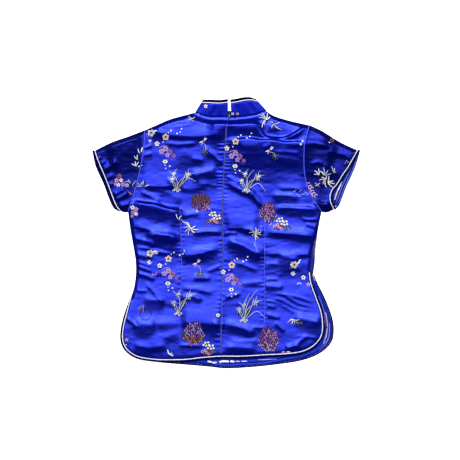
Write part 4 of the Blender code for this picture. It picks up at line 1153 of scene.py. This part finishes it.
def carriedOn(lines, distance):
    # a wall's last line, moved out past the cuff
    last, along = lines[-1], lines[-1] - lines[-3]
    along = along / np.linalg.norm(along, axis=1)[:, None]
    square = np.abs(np.sum(along * leftNormals(last), axis=1))
    return last + along * (distance / np.maximum(square, sleeveLook["leastSquare"]))[:, None]


def sleeve(label, side, armhole, top, foot, cuffUpper, cuffLower):
    look = sleeveLook
    shares = np.concatenate([look["headRows"], np.linspace(0.085, 1, look["rows"])])
    upper = sleeveWall(armhole, top, foot, cuffUpper, side, look["columns"], shares)
    lower = sleeveWall(armhole, top, foot, cuffLower, side, look["lowerColumns"], shares)
    hole = smoothPath(armhole)
    inset = np.linspace(0, 1, look["columns"])
    ends = smooth(inset / look["rollEnds"]) * smooth((1 - inset) / look["rollEnds"])
    rings = []
    for above, below in zip(upper, lower):
        beside = (distanceTo(above, hole) - look["rollMiddle"]) / look["rollWidth"]
        high = clothTop(above) + look["seamRoll"] * ends * np.exp(-beside ** 2)
        rings.append(ringOf(above, np.maximum(high, 1.0), below, 0.0))
    carry(np.array(rings)[:, :look["columns"]])
    carry([raised(line, np.full(len(line), look["lowerFace"])) for line in lower])
    shell = layCloth(f"{label}_sleeve_shell", rings, finishes["sleeve"], look["thickness"], "satin",
                     f"sleeve_{label}", closed=True)

    def pastCuff(distance, lift, low):
        edgeUp, edgeDown = carriedOn(upper, distance), carriedOn(lower, distance)
        return ringOf(edgeUp, np.maximum(clothTop(edgeUp), look["leastMouth"]) + lift, edgeDown, low)

    radius = look["pipingRadius"]
    cord(f"{label}_cuff_piping", pastCuff(look["pipingStart"], look["pipingLift"], radius), radius,
         finishes["piping"], "piping", f"cuff_piping_{label}", closed=True)
    rows = []
    for share in np.linspace(0, 1, 6):
        dome = look["bindingDome"] * math.sin(math.pi * (0.15 + 0.85 * share))
        rows.append(pastCuff(look["bindingStart"] + look["bindingWidth"] * share, dome - 0.5, 0.0))
    layCloth(f"{label}_cuff_binding", rows, finishes["binding"], look["bindingThickness"], "binding",
             f"cuff_binding_{label}", closed=True)
    return shell, lower


for label, armhole in (("left", armholeLeft), ("right", armholeRight)):
    seam = smoothPath(armhole, 2)[1:-1]
    cord(f"{label}_armhole_welt", raised(seam, clothTop(seam) + sleeveLook["weltLift"]),
         sleeveLook["weltRadius"], finishes["paintedHighlightWelt"], "satin")
leftSleeve, _ = sleeve("left", -1, armholeLeft, sleeveTopLeft, sleeveFootLeft, cuffUpperLeft, cuffLowerLeft)
rightSleeve, openWall = sleeve("right", 1, armholeRight, sleeveTopRight, sleeveFootRight,
                               cuffUpperRight, cuffLowerRight)
cuffEdge = carriedOn(openWall, sleeveLook["facingInset"])[1:-1]
cuffFacing = facingStrip("right_cuff_facing", cuffEdge, 0.0, -sleeveLook["facingWidth"],
                         np.full(len(cuffEdge), sleeveLook["facingLevel"]), 1.0, "cuff_facing_right")
print("sleeves made")

# Stand collar, from the zip round the side of the neck to the centre front

collarLook = {
    "arch": 3.2,             # how far the back stands up off the front in its middle
    "shares": np.linspace(0, 1, 9),
    "tuck": 0.5,             # of its foot under the back
    "low": 0.6,
    "level": 4.2,
    "foldLean": 0.55,        # of the folds at the sides of the neck, away from the shoulder
    "frontGap": 0.3,         # half of the gap at the centre front
    "thickness": 0.6,
    "pipingRadius": 0.9,
    "bindingStart": 1.8,
    "bindingWidth": 6.2,
    "bindingThickness": 0.45,
    "bindingDome": 0.35,
    "slack": ((0.5, 5.2, 1.3), (0.3, 2.9, 0.0)),     # height, length and start of its ripples
}


def collarHalf(label, side, neck, top, frontNeck, frontTop):
    look = collarLook
    shares, low, high = look["shares"], look["low"], look["level"]
    base = smoothPath(neck, 2.0) - np.array([0, look["tuck"]])
    rim = evenly(smoothPath(top, 2.0), len(base))
    frontBase = smoothPath(frontNeck, 3.0)
    frontRim = evenly(smoothPath(frontTop, 3.0), len(frontBase))
    frontBase[-1, 0] += side * look["frontGap"]
    along = lengthsAlong(base)
    lift = look["arch"] * np.sin(np.pi * np.linspace(0.12, 1, len(base)))
    slack = sum(far * np.sin(along / length + start * side) for far, length, start in look["slack"])
    back = [
        [(*(foot + (head - foot) * s), high + arch * (0.1 + 0.9 * s) + loose * math.sin(math.pi * s))
         for s in shares]
        for foot, head, arch, loose in zip(base, rim, lift, slack)
    ]
    outward = np.array([side, look["foldLean"]])
    lines = [base[-1] + (rim[-1] - base[-1]) * s for s in shares]
    folded = zip(*(foldRound(place, outward, back[-1][k][2], low) for k, place in enumerate(lines)))
    front = [[(*(foot + (head - foot) * s), low) for s in shares] for foot, head in zip(frontBase, frontRim)]
    sections = np.array([*back, *map(list, folded), *front])
    carry(back, 0.3)
    shell = layCloth(f"{label}_collar_shell", sections, finishes["collar"], look["thickness"], "satin",
                     f"collar_{label}", offset=0)
    rims = sections[:, -1]
    up = rims - sections[:, 0]
    up[:, 2] = 0
    up /= np.linalg.norm(up, axis=1)[:, None]
    line = rims + up * look["pipingRadius"]
    line[:, 2] = np.maximum(line[:, 2], look["pipingRadius"])
    cord(f"{label}_collar_piping", line, look["pipingRadius"], finishes["piping"], "piping",
         f"collar_piping_{label}")
    rows = []
    for s in np.linspace(0, 1, 5):
        dome = look["bindingDome"] * math.sin(math.pi * (0.2 + 0.8 * s)) - 0.1
        rows.append(rims + up * (look["bindingStart"] + look["bindingWidth"] * s) + [0, 0, dome])
    layCloth(f"{label}_collar_binding", rows, finishes["collarBindingInShade"], look["bindingThickness"],
             "binding", f"collar_binding_{label}", offset=0)
    return shell


leftCollar = collarHalf("left", -1, neckLeft, collarTopLeft, frontNeckLeft, frontCollarTopLeft)
rightCollar = collarHalf("right", 1, neckRight, collarTopRight, frontNeckRight, frontCollarTopRight)
print("collar made")

# Zip: teeth between the two halves of the back, and finishes for its slider and pull tab

zipLook = {
    "start": 10,             # mm down the seam to the first tooth
    "pitch": 1.3,
    "tooth": (1.3, 0.7, 0.7),
    "crown": (0.6, 1.5),     # size of a tooth's top, as a share of its foot, and its height
    "stagger": 0.45,
    "sink": 1.9,             # below the cloth's face
    "tapeSides": (-3.2, -1, 1, 3.2),
    "tapeDrop": 0.4,
    "tapeThickness": 0.3,
    "tapeFoot": 255.4,       # where the tape's folded ends start, above the neckline
    "tapeEnd": 14.0,         # their length
    "tapeLean": 0.02,        # sideways, for each mm up
    "tapeRise": (1.3, 0.13),     # height where they start, and rise for each mm up
    "endThickness": 0.5,
}
# side, inner and outer edge of each folded end
tapeEnds = [("left", 7.4, 2.4), ("right", 8.0, 13.0)]


def zipTeeth():
    look = zipLook
    path = smoothPath(centreBack, 2)
    path = path[path[:, 1] > backLook["zipEnd"]]
    places = atLengths(path, np.arange(look["start"], lengthsAlong(path)[-1], look["pitch"]))
    x, y, z = (half / 2 for half in look["tooth"])
    points, faces = [], []
    for k, (place, height) in enumerate(zip(places, clothTop(places) - look["sink"])):
        middle = np.array([place[0] + look["stagger"] * (1 if k % 2 else -1), place[1], height])
        base = len(points)
        for size, level in ((1, -z), (1, z), (look["crown"][0], z * look["crown"][1])):
            points += [middle + [i * x * size, j * y * size, level] for j in (-1, 1) for i in (-1, 1)]
        for low, high in ((0, 4), (4, 8)):
            for a, b in ((0, 1), (1, 3), (3, 2), (2, 0)):
                faces.append((base + low + a, base + low + b, base + high + b, base + high + a))
        faces.append((base + 8, base + 9, base + 11, base + 10))
    sewOn(addMesh("zip_teeth", points, faces, finishes["zipMetal"], False), "zip_metal")
    level = clothTop(path) - look["sink"] - look["tapeDrop"]
    layCloth("zip_tape", [raised(shifted(path, side), level) for side in look["tapeSides"]],
             finishes["zipTape"], look["tapeThickness"], "zip_tape", "zip_chain")
    for label, inner, outer in tapeEnds:
        foot, rise = look["tapeRise"]
        rows = [[(x + look["tapeLean"] * y, look["tapeFoot"] + y, foot + rise * y)
                 for y in np.linspace(0, look["tapeEnd"], 9)]
                for x in np.linspace(inner, outer, 4)]
        layCloth(f"{label}_zip_tape_end", rows, finishes["zipTape"], look["endThickness"], "zip_tape")


zipTeeth()
for node in ("zip_slider", "zip_pull"):
    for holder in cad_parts[node].material_slots:
        holder.material = finishes["zipMetal"]
print("zip made")

# Woven flowers, each thread colour in one piece that lies on the satin

flowerLook = {
    "lift": 0.16,            # of the floats above the satin, mm
    "layer": 0.05,           # of each colour over the one before
    "dome": 0.18,            # of a petal's middle over its edge
    "sampleHeight": 60,      # from which the cloth below is looked for
}


class Weaving:
    # gathers the points, in mm, and the faces of each colour
    def __init__(self):
        self.points = {name: [] for name in threadColours}
        self.faces = {name: [] for name in threadColours}

    def patch(self, colour, outline, middle, layer=0):
        middle = np.array(middle, float)
        rings = max(1, round(np.linalg.norm(outline - middle, axis=1).max() / 4))
        dome = 0.0 if colour == "ink" else flowerLook["dome"]
        base, count = len(self.points[colour]), len(outline)
        height = layer * flowerLook["layer"]
        for ring in range(rings):
            share = ring / rings
            self.points[colour] += [(*(p + (middle - p) * share), height + dome * share) for p in outline]
            corner = base + ring * count
            if ring:
                self.faces[colour] += [(corner + k - count, corner + (k + 1) % count - count,
                                        corner + (k + 1) % count, corner + k) for k in range(count)]
        self.points[colour].append((*middle, height + dome))
        last = base + rings * count
        self.faces[colour] += [(corner + k, corner + (k + 1) % count, last) for k in range(count)]

    def blob(self, colour, x, y, across, tall=None, turn=0.0, layer=0, count=10):
        tall = across if tall is None else tall
        turns = np.linspace(0, 2 * math.pi, count, endpoint=False)
        u, v = across / 2 * np.cos(turns), tall / 2 * np.sin(turns)
        c, s = math.cos(math.radians(turn)), math.sin(math.radians(turn))
        self.patch(colour, np.column_stack([x + u * c - v * s, y + u * s + v * c]), (x, y), layer)

    def stroke(self, colour, points, width, taper=0.25, layer=0):
        path = evenly(smoothPath(points, 1.5), max(3, int(lengthsAlong(np.array(points, float))[-1] / 1.7)))
        share = np.linspace(0, 1, len(path))
        wide = width / 2 * (taper + (1 - taper) * np.sin(np.pi * (0.12 + 0.76 * share)))
        left, right = shifted(path, wide), shifted(path, -wide)
        base = len(self.points[colour])
        height = layer * flowerLook["layer"]
        for a, m, b in zip(left, path, right):
            self.points[colour] += [(*a, height), (*m, height + flowerLook["dome"] * 0.7), (*b, height)]
        for k in range(len(path) - 1):
            corner = base + 3 * k
            self.faces[colour] += [(corner, corner + 3, corner + 4, corner + 1),
                                   (corner + 1, corner + 4, corner + 5, corner + 2)]

    def loop(self, colour, x, y, across, tall, width, turn=0.0, layer=1, start=0, sweep=360):
        turns = np.radians(np.linspace(start, start + sweep, max(8, int(sweep / 24))))
        u, v = across / 2 * np.cos(turns), tall / 2 * np.sin(turns)
        c, s = math.cos(math.radians(turn)), math.sin(math.radians(turn))
        self.stroke(colour, np.column_stack([x + u * c - v * s, y + u * s + v * c]), width, 0.7, layer)

    def leaf(self, colour, x, y, angle, length, width, bend=0.0, layer=0):
        c, s = math.cos(math.radians(angle)), math.sin(math.radians(angle))
        middle = (x + c * length / 2 - s * bend, y + s * length / 2 + c * bend)
        self.stroke(colour, [(x, y), middle, (x + c * length, y + s * length)], width, 0.12, layer)


weaving = Weaving()


def blossom(x, y, size, petal, edge, heart, petals=5, turn=90.0):
    reach = size * 0.29
    for k in range(petals):
        angle = math.radians(turn + 360 * k / petals)
        px, py = x + reach * math.cos(angle), y + reach * math.sin(angle)
        weaving.blob("ink", px, py, size * 0.46 + 1.5, size * 0.40 + 1.5, math.degrees(angle))
        weaving.blob(petal, px, py, size * 0.44, size * 0.37, math.degrees(angle), layer=2)
        weaving.loop(edge, px, py, size * 0.40, size * 0.34, 0.7, math.degrees(angle), 3, -130, 260)
    weaving.blob("ink", x, y, size * 0.30, layer=4, count=8)
    weaving.blob(heart, x + size * 0.03, y + size * 0.03, size * 0.16, layer=5, count=7)


def ringFlower(x, y, across, tall, petal="white", heart="ink"):
    weaving.blob("ink", x, y - 0.6, across + 3, tall + 3, count=12)
    for turn in range(0, 360, 60):
        c, d = math.cos(math.radians(turn)), math.sin(math.radians(turn))
        weaving.blob(petal, x + 0.3 * across * c, y + 0.3 * tall * d, across * 0.4, tall * 0.44, turn, 2, 8)
    weaving.blob(heart, x, y, across * 0.42, tall * 0.4, layer=4, count=8)


def plumBranch(x, y):
    # a peach blossom above, buds and a twig to its right, purple and violet ones below
    blossom(x, y, 15, "peach", "white", "brown", 5)
    weaving.loop("gold", x, y, 5, 5, 0.7, layer=3)
    for dx, dy, size in ((12, 14, 3.6), (6, 10, 2.8), (35, 18, 3.2), (32, 11, 3.0), (25, 8, 3.8)):
        weaving.blob("white", x + dx, y + dy, size, layer=1, count=8)
    for path in ([(3, 7), (10, 12), (20, 16), (30, 22)], [(8, 4), (18, 6), (30, 14)]):
        weaving.stroke("ink", [(x + a, y + b) for a, b in path], 0.8)
    blossom(x - 19, y - 15, 11.5, "white", "gold", "ink")
    weaving.blob("white", x - 6, y - 11, 2.8, layer=1, count=8)
    for dx, dy, size in ((-9, -32, 12.6), (0, -26, 12.6), (9, -33, 12.6), (4, -40, 10.6), (18, -42, 8.6)):
        petal, edge = ("violet", "lilac") if dx < 5 else ("purple", "pink")
        blossom(x + dx, y + dy, size, petal, edge, "pink")
    weaving.stroke("pink", [(x - 15, y - 24), (x - 6, y - 20), (x + 4, y - 20)], 1.2)
    weaving.stroke("purple", [(x + 8, y - 44), (x + 16, y - 50), (x + 22, y - 48)], 1.2)
    ringFlower(x - 1, y - 54, 12, 8)
    for dx, dy, size in ((9, -64, 3.6), (0, -69, 2.8), (-1, -62, 2.4)):
        weaving.blob("white", x + dx, y + dy, size, layer=1, count=8)
    weaving.stroke("ink", [(x - 1, y - 44), (x - 1, y - 52)], 0.8)


def yellowFlower(x, y):
    blossom(x, y, 16, "gold", "white", "brown", 5, 70)
    weaving.leaf("white", x + 4, y + 2, 25, 9, 3.2)
    weaving.leaf("brown", x - 4, y - 4, 215, 8, 3.0)
    for angle in (60, 100, 140):
        weaving.leaf("white", x - 2, y - 20, angle, 6, 1.4)


def orchidSpray(base, left, top, right, arch, tips=(), petal="white"):
    # long leaves from one foot, three open flowers and a leaf that arches over
    base, left, top, right, arch = (np.array(p, float) for p in (base, left, top, right, arch))
    weaving.blob("ink", base[0], base[1] - 1, 17, 8)
    for dx, dy in ((-6, 0), (-2, 2), (2, -2), (6, 1), (0, 5)):
        weaving.loop("white", base[0] + dx, base[1] + dy, 4.8, 3.6, 1.1)
    for end, bend in ((left, -3), (top, 4), (right, -5), (right + [-4, 10], 6), (left + [-8, 6], 4)):
        middle = (base + end) / 2 + np.array([bend, abs(bend)])
        weaving.stroke("ink", [base + [1.6, 0], middle + [1.8, -1.2], end + [0.8, -0.8]], 3.0)
        weaving.stroke("silver", [base, middle, end], 1.3, layer=1)
    crown = (base + arch) / 2 + np.array([6, 17])
    weaving.stroke("ink", [base + [3, 0], crown - [1, 3], arch - [3, -2]], 1.6)
    weaving.stroke("silver", [base + [2, 2], crown, arch], 1.2, layer=1)
    for start, reach in ((top, (-12, 9)), (top, (7, 13)), (right, (15, 6)), (right, (3, 15))):
        middle = start + np.multiply(reach, 0.5) + [-1.2, 1.2]
        weaving.stroke("silver", [start, middle, start + reach], 0.9, 0.3, 1)
    for place, size in ((left, 8.5), (top, 8.0), (right, 10)):
        weaving.blob("ink", place[0], place[1] - 1, size * 1.5, size * 1.25)
        for angle in (10, 48, 84, 125, 170, 235, 290):
            colour = petal if angle in (48, 84, 125, 235) else "silver"
            weaving.leaf(colour, *place, angle, size * (0.72 if angle % 4 else 0.9), 1.7, 0.6, 2)
        weaving.blob("brown", *place, 2.8, layer=4, count=7)
    for tip in np.array(tips, float):
        weaving.stroke("ink", [base + [3.2, 4], (base + tip) / 2 + [-4.6, 3], tip], 2.2)
        weaving.stroke("silver", [base + [2, 4], (base + tip) / 2 + [-6, 4], tip], 1.2, layer=1)
    for dx in (-14, 14):
        weaving.leaf("ink", base[0], base[1] + 4, 90 + dx * 3, 22, 2.6, dx * 0.2)


bloomLook = {                # the petals of a chrysanthemum
    "pitch": (4.8, 5.4),     # from one to the next, across and down
    "outline": (0.86, 1.06), # where the rows end, as a share of the flower
    "stray": 0.9,
    "length": (2.4, 3.5),    # of half a petal
    "hook": (1.2, 2.2),      # how far it curls aside
    "turnOver": (-0.45, 0.05),   # where the upper colours give way to the lower ones
    "edged": 0.62,           # share of the petals that have a second colour
}


def chrysanthemum(x, y, wide, tall, upper, lower):
    # curled petals in ragged rows, dark between them
    look = bloomLook
    rng = np.random.default_rng(int(abs(x * 7 + y)))
    weaving.blob("ink", x, y, wide * 0.72, tall * 0.72, count=16)
    across, down = look["pitch"]
    for row, v in enumerate(np.arange(-1.0, 1.01, 2 * down / tall)):
        for u in np.arange(-1.0 + across / wide * (row % 2), 1.01, 2 * across / wide):
            if math.hypot(u, v) > rng.uniform(*look["outline"]):
                continue
            middle = np.array([x + u * wide / 2, y + v * tall / 2])
            middle += rng.uniform(-look["stray"], look["stray"], 2)
            half = np.array([-0.5 * u, -1.0]) * rng.uniform(*look["length"])
            hook = np.array([rng.uniform(*look["hook"]) * rng.choice((-1, 1)), 0])
            ground, edge = upper if v > rng.uniform(*look["turnOver"]) else lower
            weaving.blob("ink", *middle, 5.4, 8.4, count=8)
            curl = [middle - half, middle + hook * 0.6, middle + half]
            weaving.stroke(ground, curl, 2.4, 0.6, 1 + row % 3)
            if rng.random() < look["edged"]:
                tip = middle + half * rng.uniform(0.7, 1.0)
                curl = [middle - half * 0.5 + hook, tip + hook * 0.3, tip - hook * 0.9]
                weaving.stroke(edge, curl, 1.3, 0.6, 4)


def whiteCluster(rings, base, leaf):
    # small petals packed over a pink ground, beside a dark leaf
    fan(*leaf, (20, 65, 110, 160, 215), 9.5)
    weaving.blob("ink", *base, 24, 15, layer=1)
    for dx, dy, colour in ((-9, 2, "pink"), (-5, -3, "red"), (0, 0, "pink"), (5, -3, "pink"), (9, 1, "red"),
                           (-3, 5, "lilac"), (4, 4, "red")):
        weaving.loop(colour, base[0] + dx, base[1] + dy, 5.4, 4.6, 1.8, layer=3)
    for x, y in rings:
        for dx, dy in ((0, 0), (6.0, 1.2), (-2.0, 6.0), (4.4, 7.0), (-6.2, 1.4)):
            weaving.blob("ink", x + dx, y + dy, 7.4, layer=2, count=8)
            weaving.blob("white", x + dx + 0.2, y + dy + 0.3, 5.0, 4.6, layer=4, count=9)
            weaving.loop("lilac", x + dx, y + dy, 2.8, 2.4, 0.8, layer=6, start=160, sweep=220)


def fan(x, y, angles, length):
    # a dark leaf in several fingers, each with a grey rib
    for angle in angles:
        weaving.leaf("ink", x, y, angle, length, 4.2)
        weaving.leaf("silver", x, y, angle, length * 0.8, 0.8, layer=1)


def bambooSpray(base, tips, colour="white"):
    # slim leaves from a twig's end to each tip, every other one grey
    weaving.blob("ink", base[0] + 1, base[1] - 1, 11, 9)
    for tip in tips:
        across = 0.1 * np.array([tip[1] - base[1], base[0] - tip[0]])
        middle = (np.array(base) + tip) / 2 + across
        shade = [np.add(base, (1, -1)), middle + [1.1, -1.1], np.add(tip, (0.9, -0.9))]
        weaving.stroke("ink", shade, 5.0, 0.1)
        weaving.stroke(colour if (tip[0] + tip[1]) % 2 else "silver", [base, middle, tip], 2.5, 0.08, 1)


def bambooLeaves(x, y, leaves, colour="white"):
    for dx, dy, angle in leaves:
        weaving.leaf("ink", x + dx + 1.2, y + dy - 1.2, angle, 11, 4.6)
        weaving.leaf(colour, x + dx, y + dy, angle, 11, 2.3, 0.5, layer=1)


# Plum branches and the blossoms beside them

for place in ((-132, 212), (21.6, 202), (-126, -56), (13.4, -69.5)):
    plumBranch(*place)
for place in ((-164, 221), (-166, -44)):
    yellowFlower(*place)
blossom(-153, -42, 8, "white", "gold", "ink")
yellowFlower(151, -69)
for place in ((160, -62), (142, -70)):
    weaving.leaf("white", *place, 40, 7, 2.6)
blossom(171, -97, 11, "white", "gold", "ink")
weaving.loop("white", 162, -112, 9, 6, 1.4, start=0, sweep=200)
blossom(182, -112, 9, "pink", "lilac", "red")
weaving.loop("pink", -157, -88, 10, 7, 1.8, start=180, sweep=220)
for x, y in ((-168, -64), (148, -89)):
    for angle in (40, 85, 130):
        weaving.leaf("white", x, y - 4, angle, 8, 1.6)

# Orchids

orchidSpray((-108, 95), (-118, 117), (-114, 129), (-83, 127), (-66, 114))
orchidSpray((45, 93), (35, 114), (43, 129), (71.5, 122.5), (87, 93), [(62, 140)])
orchidSpray((-104.5, -177), (-114, -154), (-104.5, -136), (-80, -139), (-86, -156), petal="silver")
orchidSpray((40, -192), (29.5, -169), (40, -160), (66, -153), (86, -185), [(52, -132), (69, -124)], "silver")

# Chrysanthemums, and the white clusters beside them

chrysanthemum(-55, 68, 45, 40, ("brown", "purple"), ("purple", "pink"))
weaving.blob("lilac", -63, 49, 6, 4, layer=6)
weaving.stroke("pink", [(-44, 62), (-38, 55), (-33, 52)], 2.0)
chrysanthemum(94, 47, 38, 48, ("purple", "pink"), ("purple", "shell"))
chrysanthemum(-70, -220, 50, 52, ("purple", "lilac"), ("brown", "orange"))
chrysanthemum(94, -234, 46, 54, ("purple", "pink"), ("purple", "shell"))

whiteCluster([(-29, 39), (-19, 32)], (-24, 27), (-38, 24))
whiteCluster([(119, 26), (129, 19)], (117, 14), (137, 10))
whiteCluster([(-43, -247), (-33, -254)], (-42, -262), (-28, -262))
weaving.blob("pink", 127, -262, 9, 6)
weaving.blob("white", 138, -262, 9, 6)

# Blossoms under the left arm, and those with twigs on the left sleeve

for x, y, petal, size in ((-205, 57, "white", 10), (-197, 53, "lilac", 10), (-204, 46, "violet", 10),
                          (-197, 43, "white", 9), (-206, 38, "pink", 7), (-234, 126, "red", 10),
                          (-240, 117, "pink", 10), (-230, 117, "white", 9), (-236, 107, "white", 9),
                          (-226, 108, "violet", 10), (-217, 106, "lilac", 9), (-243, 109, "violet", 8)):
    blossom(x, y, size, petal, "lilac" if petal == "white" else "pink", "purple")
for path, colour in (([(-214, 119), (-212, 114), (-209, 110)], "silver"),
                     ([(-222, 112), (-217, 115), (-213, 113)], "silver"),
                     ([(-206, 104), (-202, 100), (-199, 94)], "red"),
                     ([(-215, 92), (-211, 89), (-206, 86)], "pink"),
                     ([(-198, 116), (-202, 110), (-206, 106)], "silver")):
    weaving.stroke("ink", path, 3.4)
    weaving.stroke(colour, path, 1.8, layer=1)
bambooLeaves(-190, 107, ((0, 0, 120), (2, 0, 40), (8, -1, 80), (6, -2, 190), (12, -4, 20)), "silver")

# Bamboo

for base, tips in (((205, 128), ((195, 138), (194, 130), (204, 143))),
                   ((216, 128), ((208, 137), (215, 145), (225, 139), (232, 132))),
                   ((237, 135), ((232, 148), (240, 144), (243, 135))),
                   ((219, 118), ((205, 117), (211, 124), (222, 127), (222, 101), (214, 108))),
                   ((225, 115), ((227, 126), (237, 116), (240, 109), (236, 101), (230, 105))),
                   ((66, 1), ((53, 9), (51, 1), (58, -6), (66, 13), (73, 9), (78, 3), (79, -3), (73, -12),
                              (67, -14))),
                   ((-77, 12), ((-95, 26), (-86, 26), (-66, 17), (-61, 8), (-68, 1), (-82, -4), (-89, 3),
                                (-91, 13)))):
    bambooSpray(base, tips)
bambooSpray((201, 107), ((196, 111), (207, 111), (206, 103), (197, 103)), "gold")
weaving.stroke("silver", [(-108, 36), (-98, 31), (-88, 20), (-77, 12)], 0.8)
weaving.stroke("silver", [(66, -12), (64, -24), (70, -36)], 0.8)
bambooLeaves(-105, 32, ((0, 0, 110), (2, -2, 60)))
bambooSpray((88, 250), ((72, 262), (80, 265), (92, 265), (98, 257), (73, 255), (80, 233), (86, 238)))
bambooSpray((106, 241), ((124, 227), (119, 244), (98, 246), (101, 231)), "silver")
bambooSpray((-75, 252), ((-82, 257), (-70, 245), (-68, 256), (-81, 249)), "silver")
weaving.leaf("silver", -58, 266, 250, 8, 1.2)
bambooLeaves(-185, 176, ((0, 3, 80), (-4, 0, 110), (-9, -14, 130), (-9, -14, 90), (-12, -28, 60),
                         (-12, -28, 100), (-12, -28, 150), (-8, -30, 20)))
bambooSpray((150, -190), ((136, -196), (141, -190), (146, -199), (153, -199), (158, -196), (162, -190)))
fan(162, -196, (-30, 10, 200, 240), 10)
weaving.stroke("ink", [(-127, -259), (-122, -266), (-116, -272)], 6)
weaving.stroke("white", [(-128, -256), (-125, -263), (-117, -270)], 3.4, 0.1, 1)
weaving.stroke("silver", [(-120, -261), (-118, -266), (-115, -270)], 2.2, 0.1, 1)

# Winged seeds on dark leaves, a ring, and the small marks at the seams

for x, y, wing in ((-49, 203, (-45, 181)), (97, 183, (109, 169)), (-63, -65, (-55, -89))):
    for k, angle in enumerate((40, 65, 200, 240)):
        weaving.leaf("gold" if k % 2 else "white", x, y, angle, 10, 2.6)
    weaving.blob("brown", x, y, 4, 3, 30, layer=2)
    fan(*wing, (35, 95, 150, 205, 265, 320), 10.5)
    weaving.stroke("silver", [(x, y - 4), ((x + wing[0]) / 2 + 3, (y + wing[1]) / 2), wing], 0.9, layer=1)
weaving.loop("ink", -176, -178, 26, 25, 1.8)
weaving.loop("ink", -176, -178, 21, 20, 0.8)
for angle in (100, 125, 150):
    weaving.leaf("silver", -180, -172, angle, 15, 1.2)
    weaving.leaf("ink", -178, -174, angle - 8, 13, 2.2)
blossom(-185, -167, 9, "purple", "ink", "gold")
blossom(-218, -234, 9, "lilac", "purple", "ink")
ringFlower(-17, -180, 9, 8)
blossom(234, 205, 10, "brown", "copper", "ink")
for x, y, size in ((-219, -245, 2.6), (165, 196, 4.5), (169, 203, 4), (228, 200, 3)):
    weaving.blob("white", x, y, size, count=8)
for x, y in ((266, 160), (263, 155), (269, 157)):
    weaving.blob("lilac", x, y, 2.4, count=8)
for x, y, colour in ((180, 108, "pink"), (184, 102, "shell"), (188, 98, "shell"), (189, 91, "pink"),
                     (192, 86, "shell"), (197, 82, "pink")):
    weaving.loop(colour, x + 1.5, y, 8.4, 6.4, 2.2, 40, start=-20, sweep=250)
blossom(-44, 280, 9, "white", "lilac", "purple")
ringFlower(15, 263, 7, 4)
ringFlower(26, 263, 6, 4, "peach", "brown")
for x, y, angle in ((138, 87, 5), (147, 91, 25), (154, 86, -10), (161, 91, 40), (166, 86, 0), (172, 92, -25),
                    (158, 81, 15), (177, 84, 30)):
    weaving.leaf("sky", x, y, angle, 9, 2.0, layer=1)

# Pale strokes inside the hem; of the cloth's wrong side, pink, copper and grey floats in the right slit, a
# red float inside the waist and pale ones in the right cuff; and thin lilac lines along the hem's facing and
# beside the slit's bindings, painted highlights. Each as colour, width and the places of it

for colour, width, path in (
        ("white", 3.8, [(-40, -281), (-30, -283)]),
        ("white", 3.6, [(-29, -284.5), (-19, -283.5)]),
        ("white", 5.4, [(-14, -283.2), (-4, -281.6), (7, -282.4)]),
        ("white", 4.2, [(10, -281), (19, -282.4)]),
        ("silver", 2.4, [(22, -281.4), (31, -281.8)]),
        ("white", 1.6, [(34, -281.5), (47, -281)]),
        # painted highlight: a light line along the hem's facing
        ("lilac", 1.4, [(71, -278), (92, -277.5), (113, -277)]),
        ("shell", 2.6, [(219.6, -174), (223, -190), (224.2, -206)]),
        ("copper", 2.2, [(222.4, -184), (225, -198), (225.4, -214)]),
        ("silver", 2.4, [(223.4, -208), (221, -226), (215.6, -242)]),
        # painted highlights: light lines beside the bindings of the right slit
        ("lilac", 0.9, [(228.6, -196), (228.4, -216), (222, -240), (206, -257)]),
        ("lilac", 0.7, [(205, -138), (216, -170), (218.6, -200), (214, -232)]),
        ("brown", 3.4, [(196, -14), (194, -34), (194, -58)]),
        ("lilac", 1.0, [(198, -18), (196, -36), (195, -54)]),
        ("white", 3.0, [(257, 114), (251, 103), (246.6, 94)]),
        ("shell", 3.2, [(247, 96), (242.6, 84), (240, 74)])):
    weaving.stroke(colour, path, width, 0.5)
# painted shade and highlight along the right cuff: dark lines in the gaps at the edges of its binding and
# facing, light-blue lines between them
cuffPaintedLine = smoothPath(cuffLowerRight, 4)
for outward, colour, width in ((5.4, "ink", 1.8), (3.2, "sky", 0.8), (0.4, "ink", 1.8), (-2.6, "sky", 1.0),
                               (-5.6, "ink", 1.2)):
    weaving.stroke(colour, shifted(cuffPaintedLine, outward)[3:-4], width, 0.8)


def layThreads():
    # lowers every point onto the highest cloth under it, and leaves out faces that miss the cloth
    trees = [BVHTree.FromPolygons([tuple(p) for p in points], [tuple(map(int, face)) for face in faces])
             for points, faces in carriers]
    down = Vector((0, 0, -1))
    total = 0
    for name in threadColours:
        places, faces = weaving.points[name], weaving.faces[name]
        found = []
        for x, y, z in places:
            above = Vector((x, y, flowerLook["sampleHeight"]))
            hits = [tree.ray_cast(above, down)[0] for tree in trees]
            heights = [hit.z for hit in hits if hit is not None]
            found.append((x, y, max(heights) + flowerLook["lift"] + z) if heights else None)
        kept = [face for face in faces if all(found[k] is not None for k in face)]
        used = sorted({k for face in kept for k in face})
        place = {k: n for n, k in enumerate(used)}
        woven = addMesh(f"flowers_{name}", [found[k] for k in used],
                        [tuple(place[k] for k in face) for face in kept], threads[name])
        sewOn(woven, "satin")
        total += len(kept)
    print("flowers woven,", total, "faces")


layThreads()
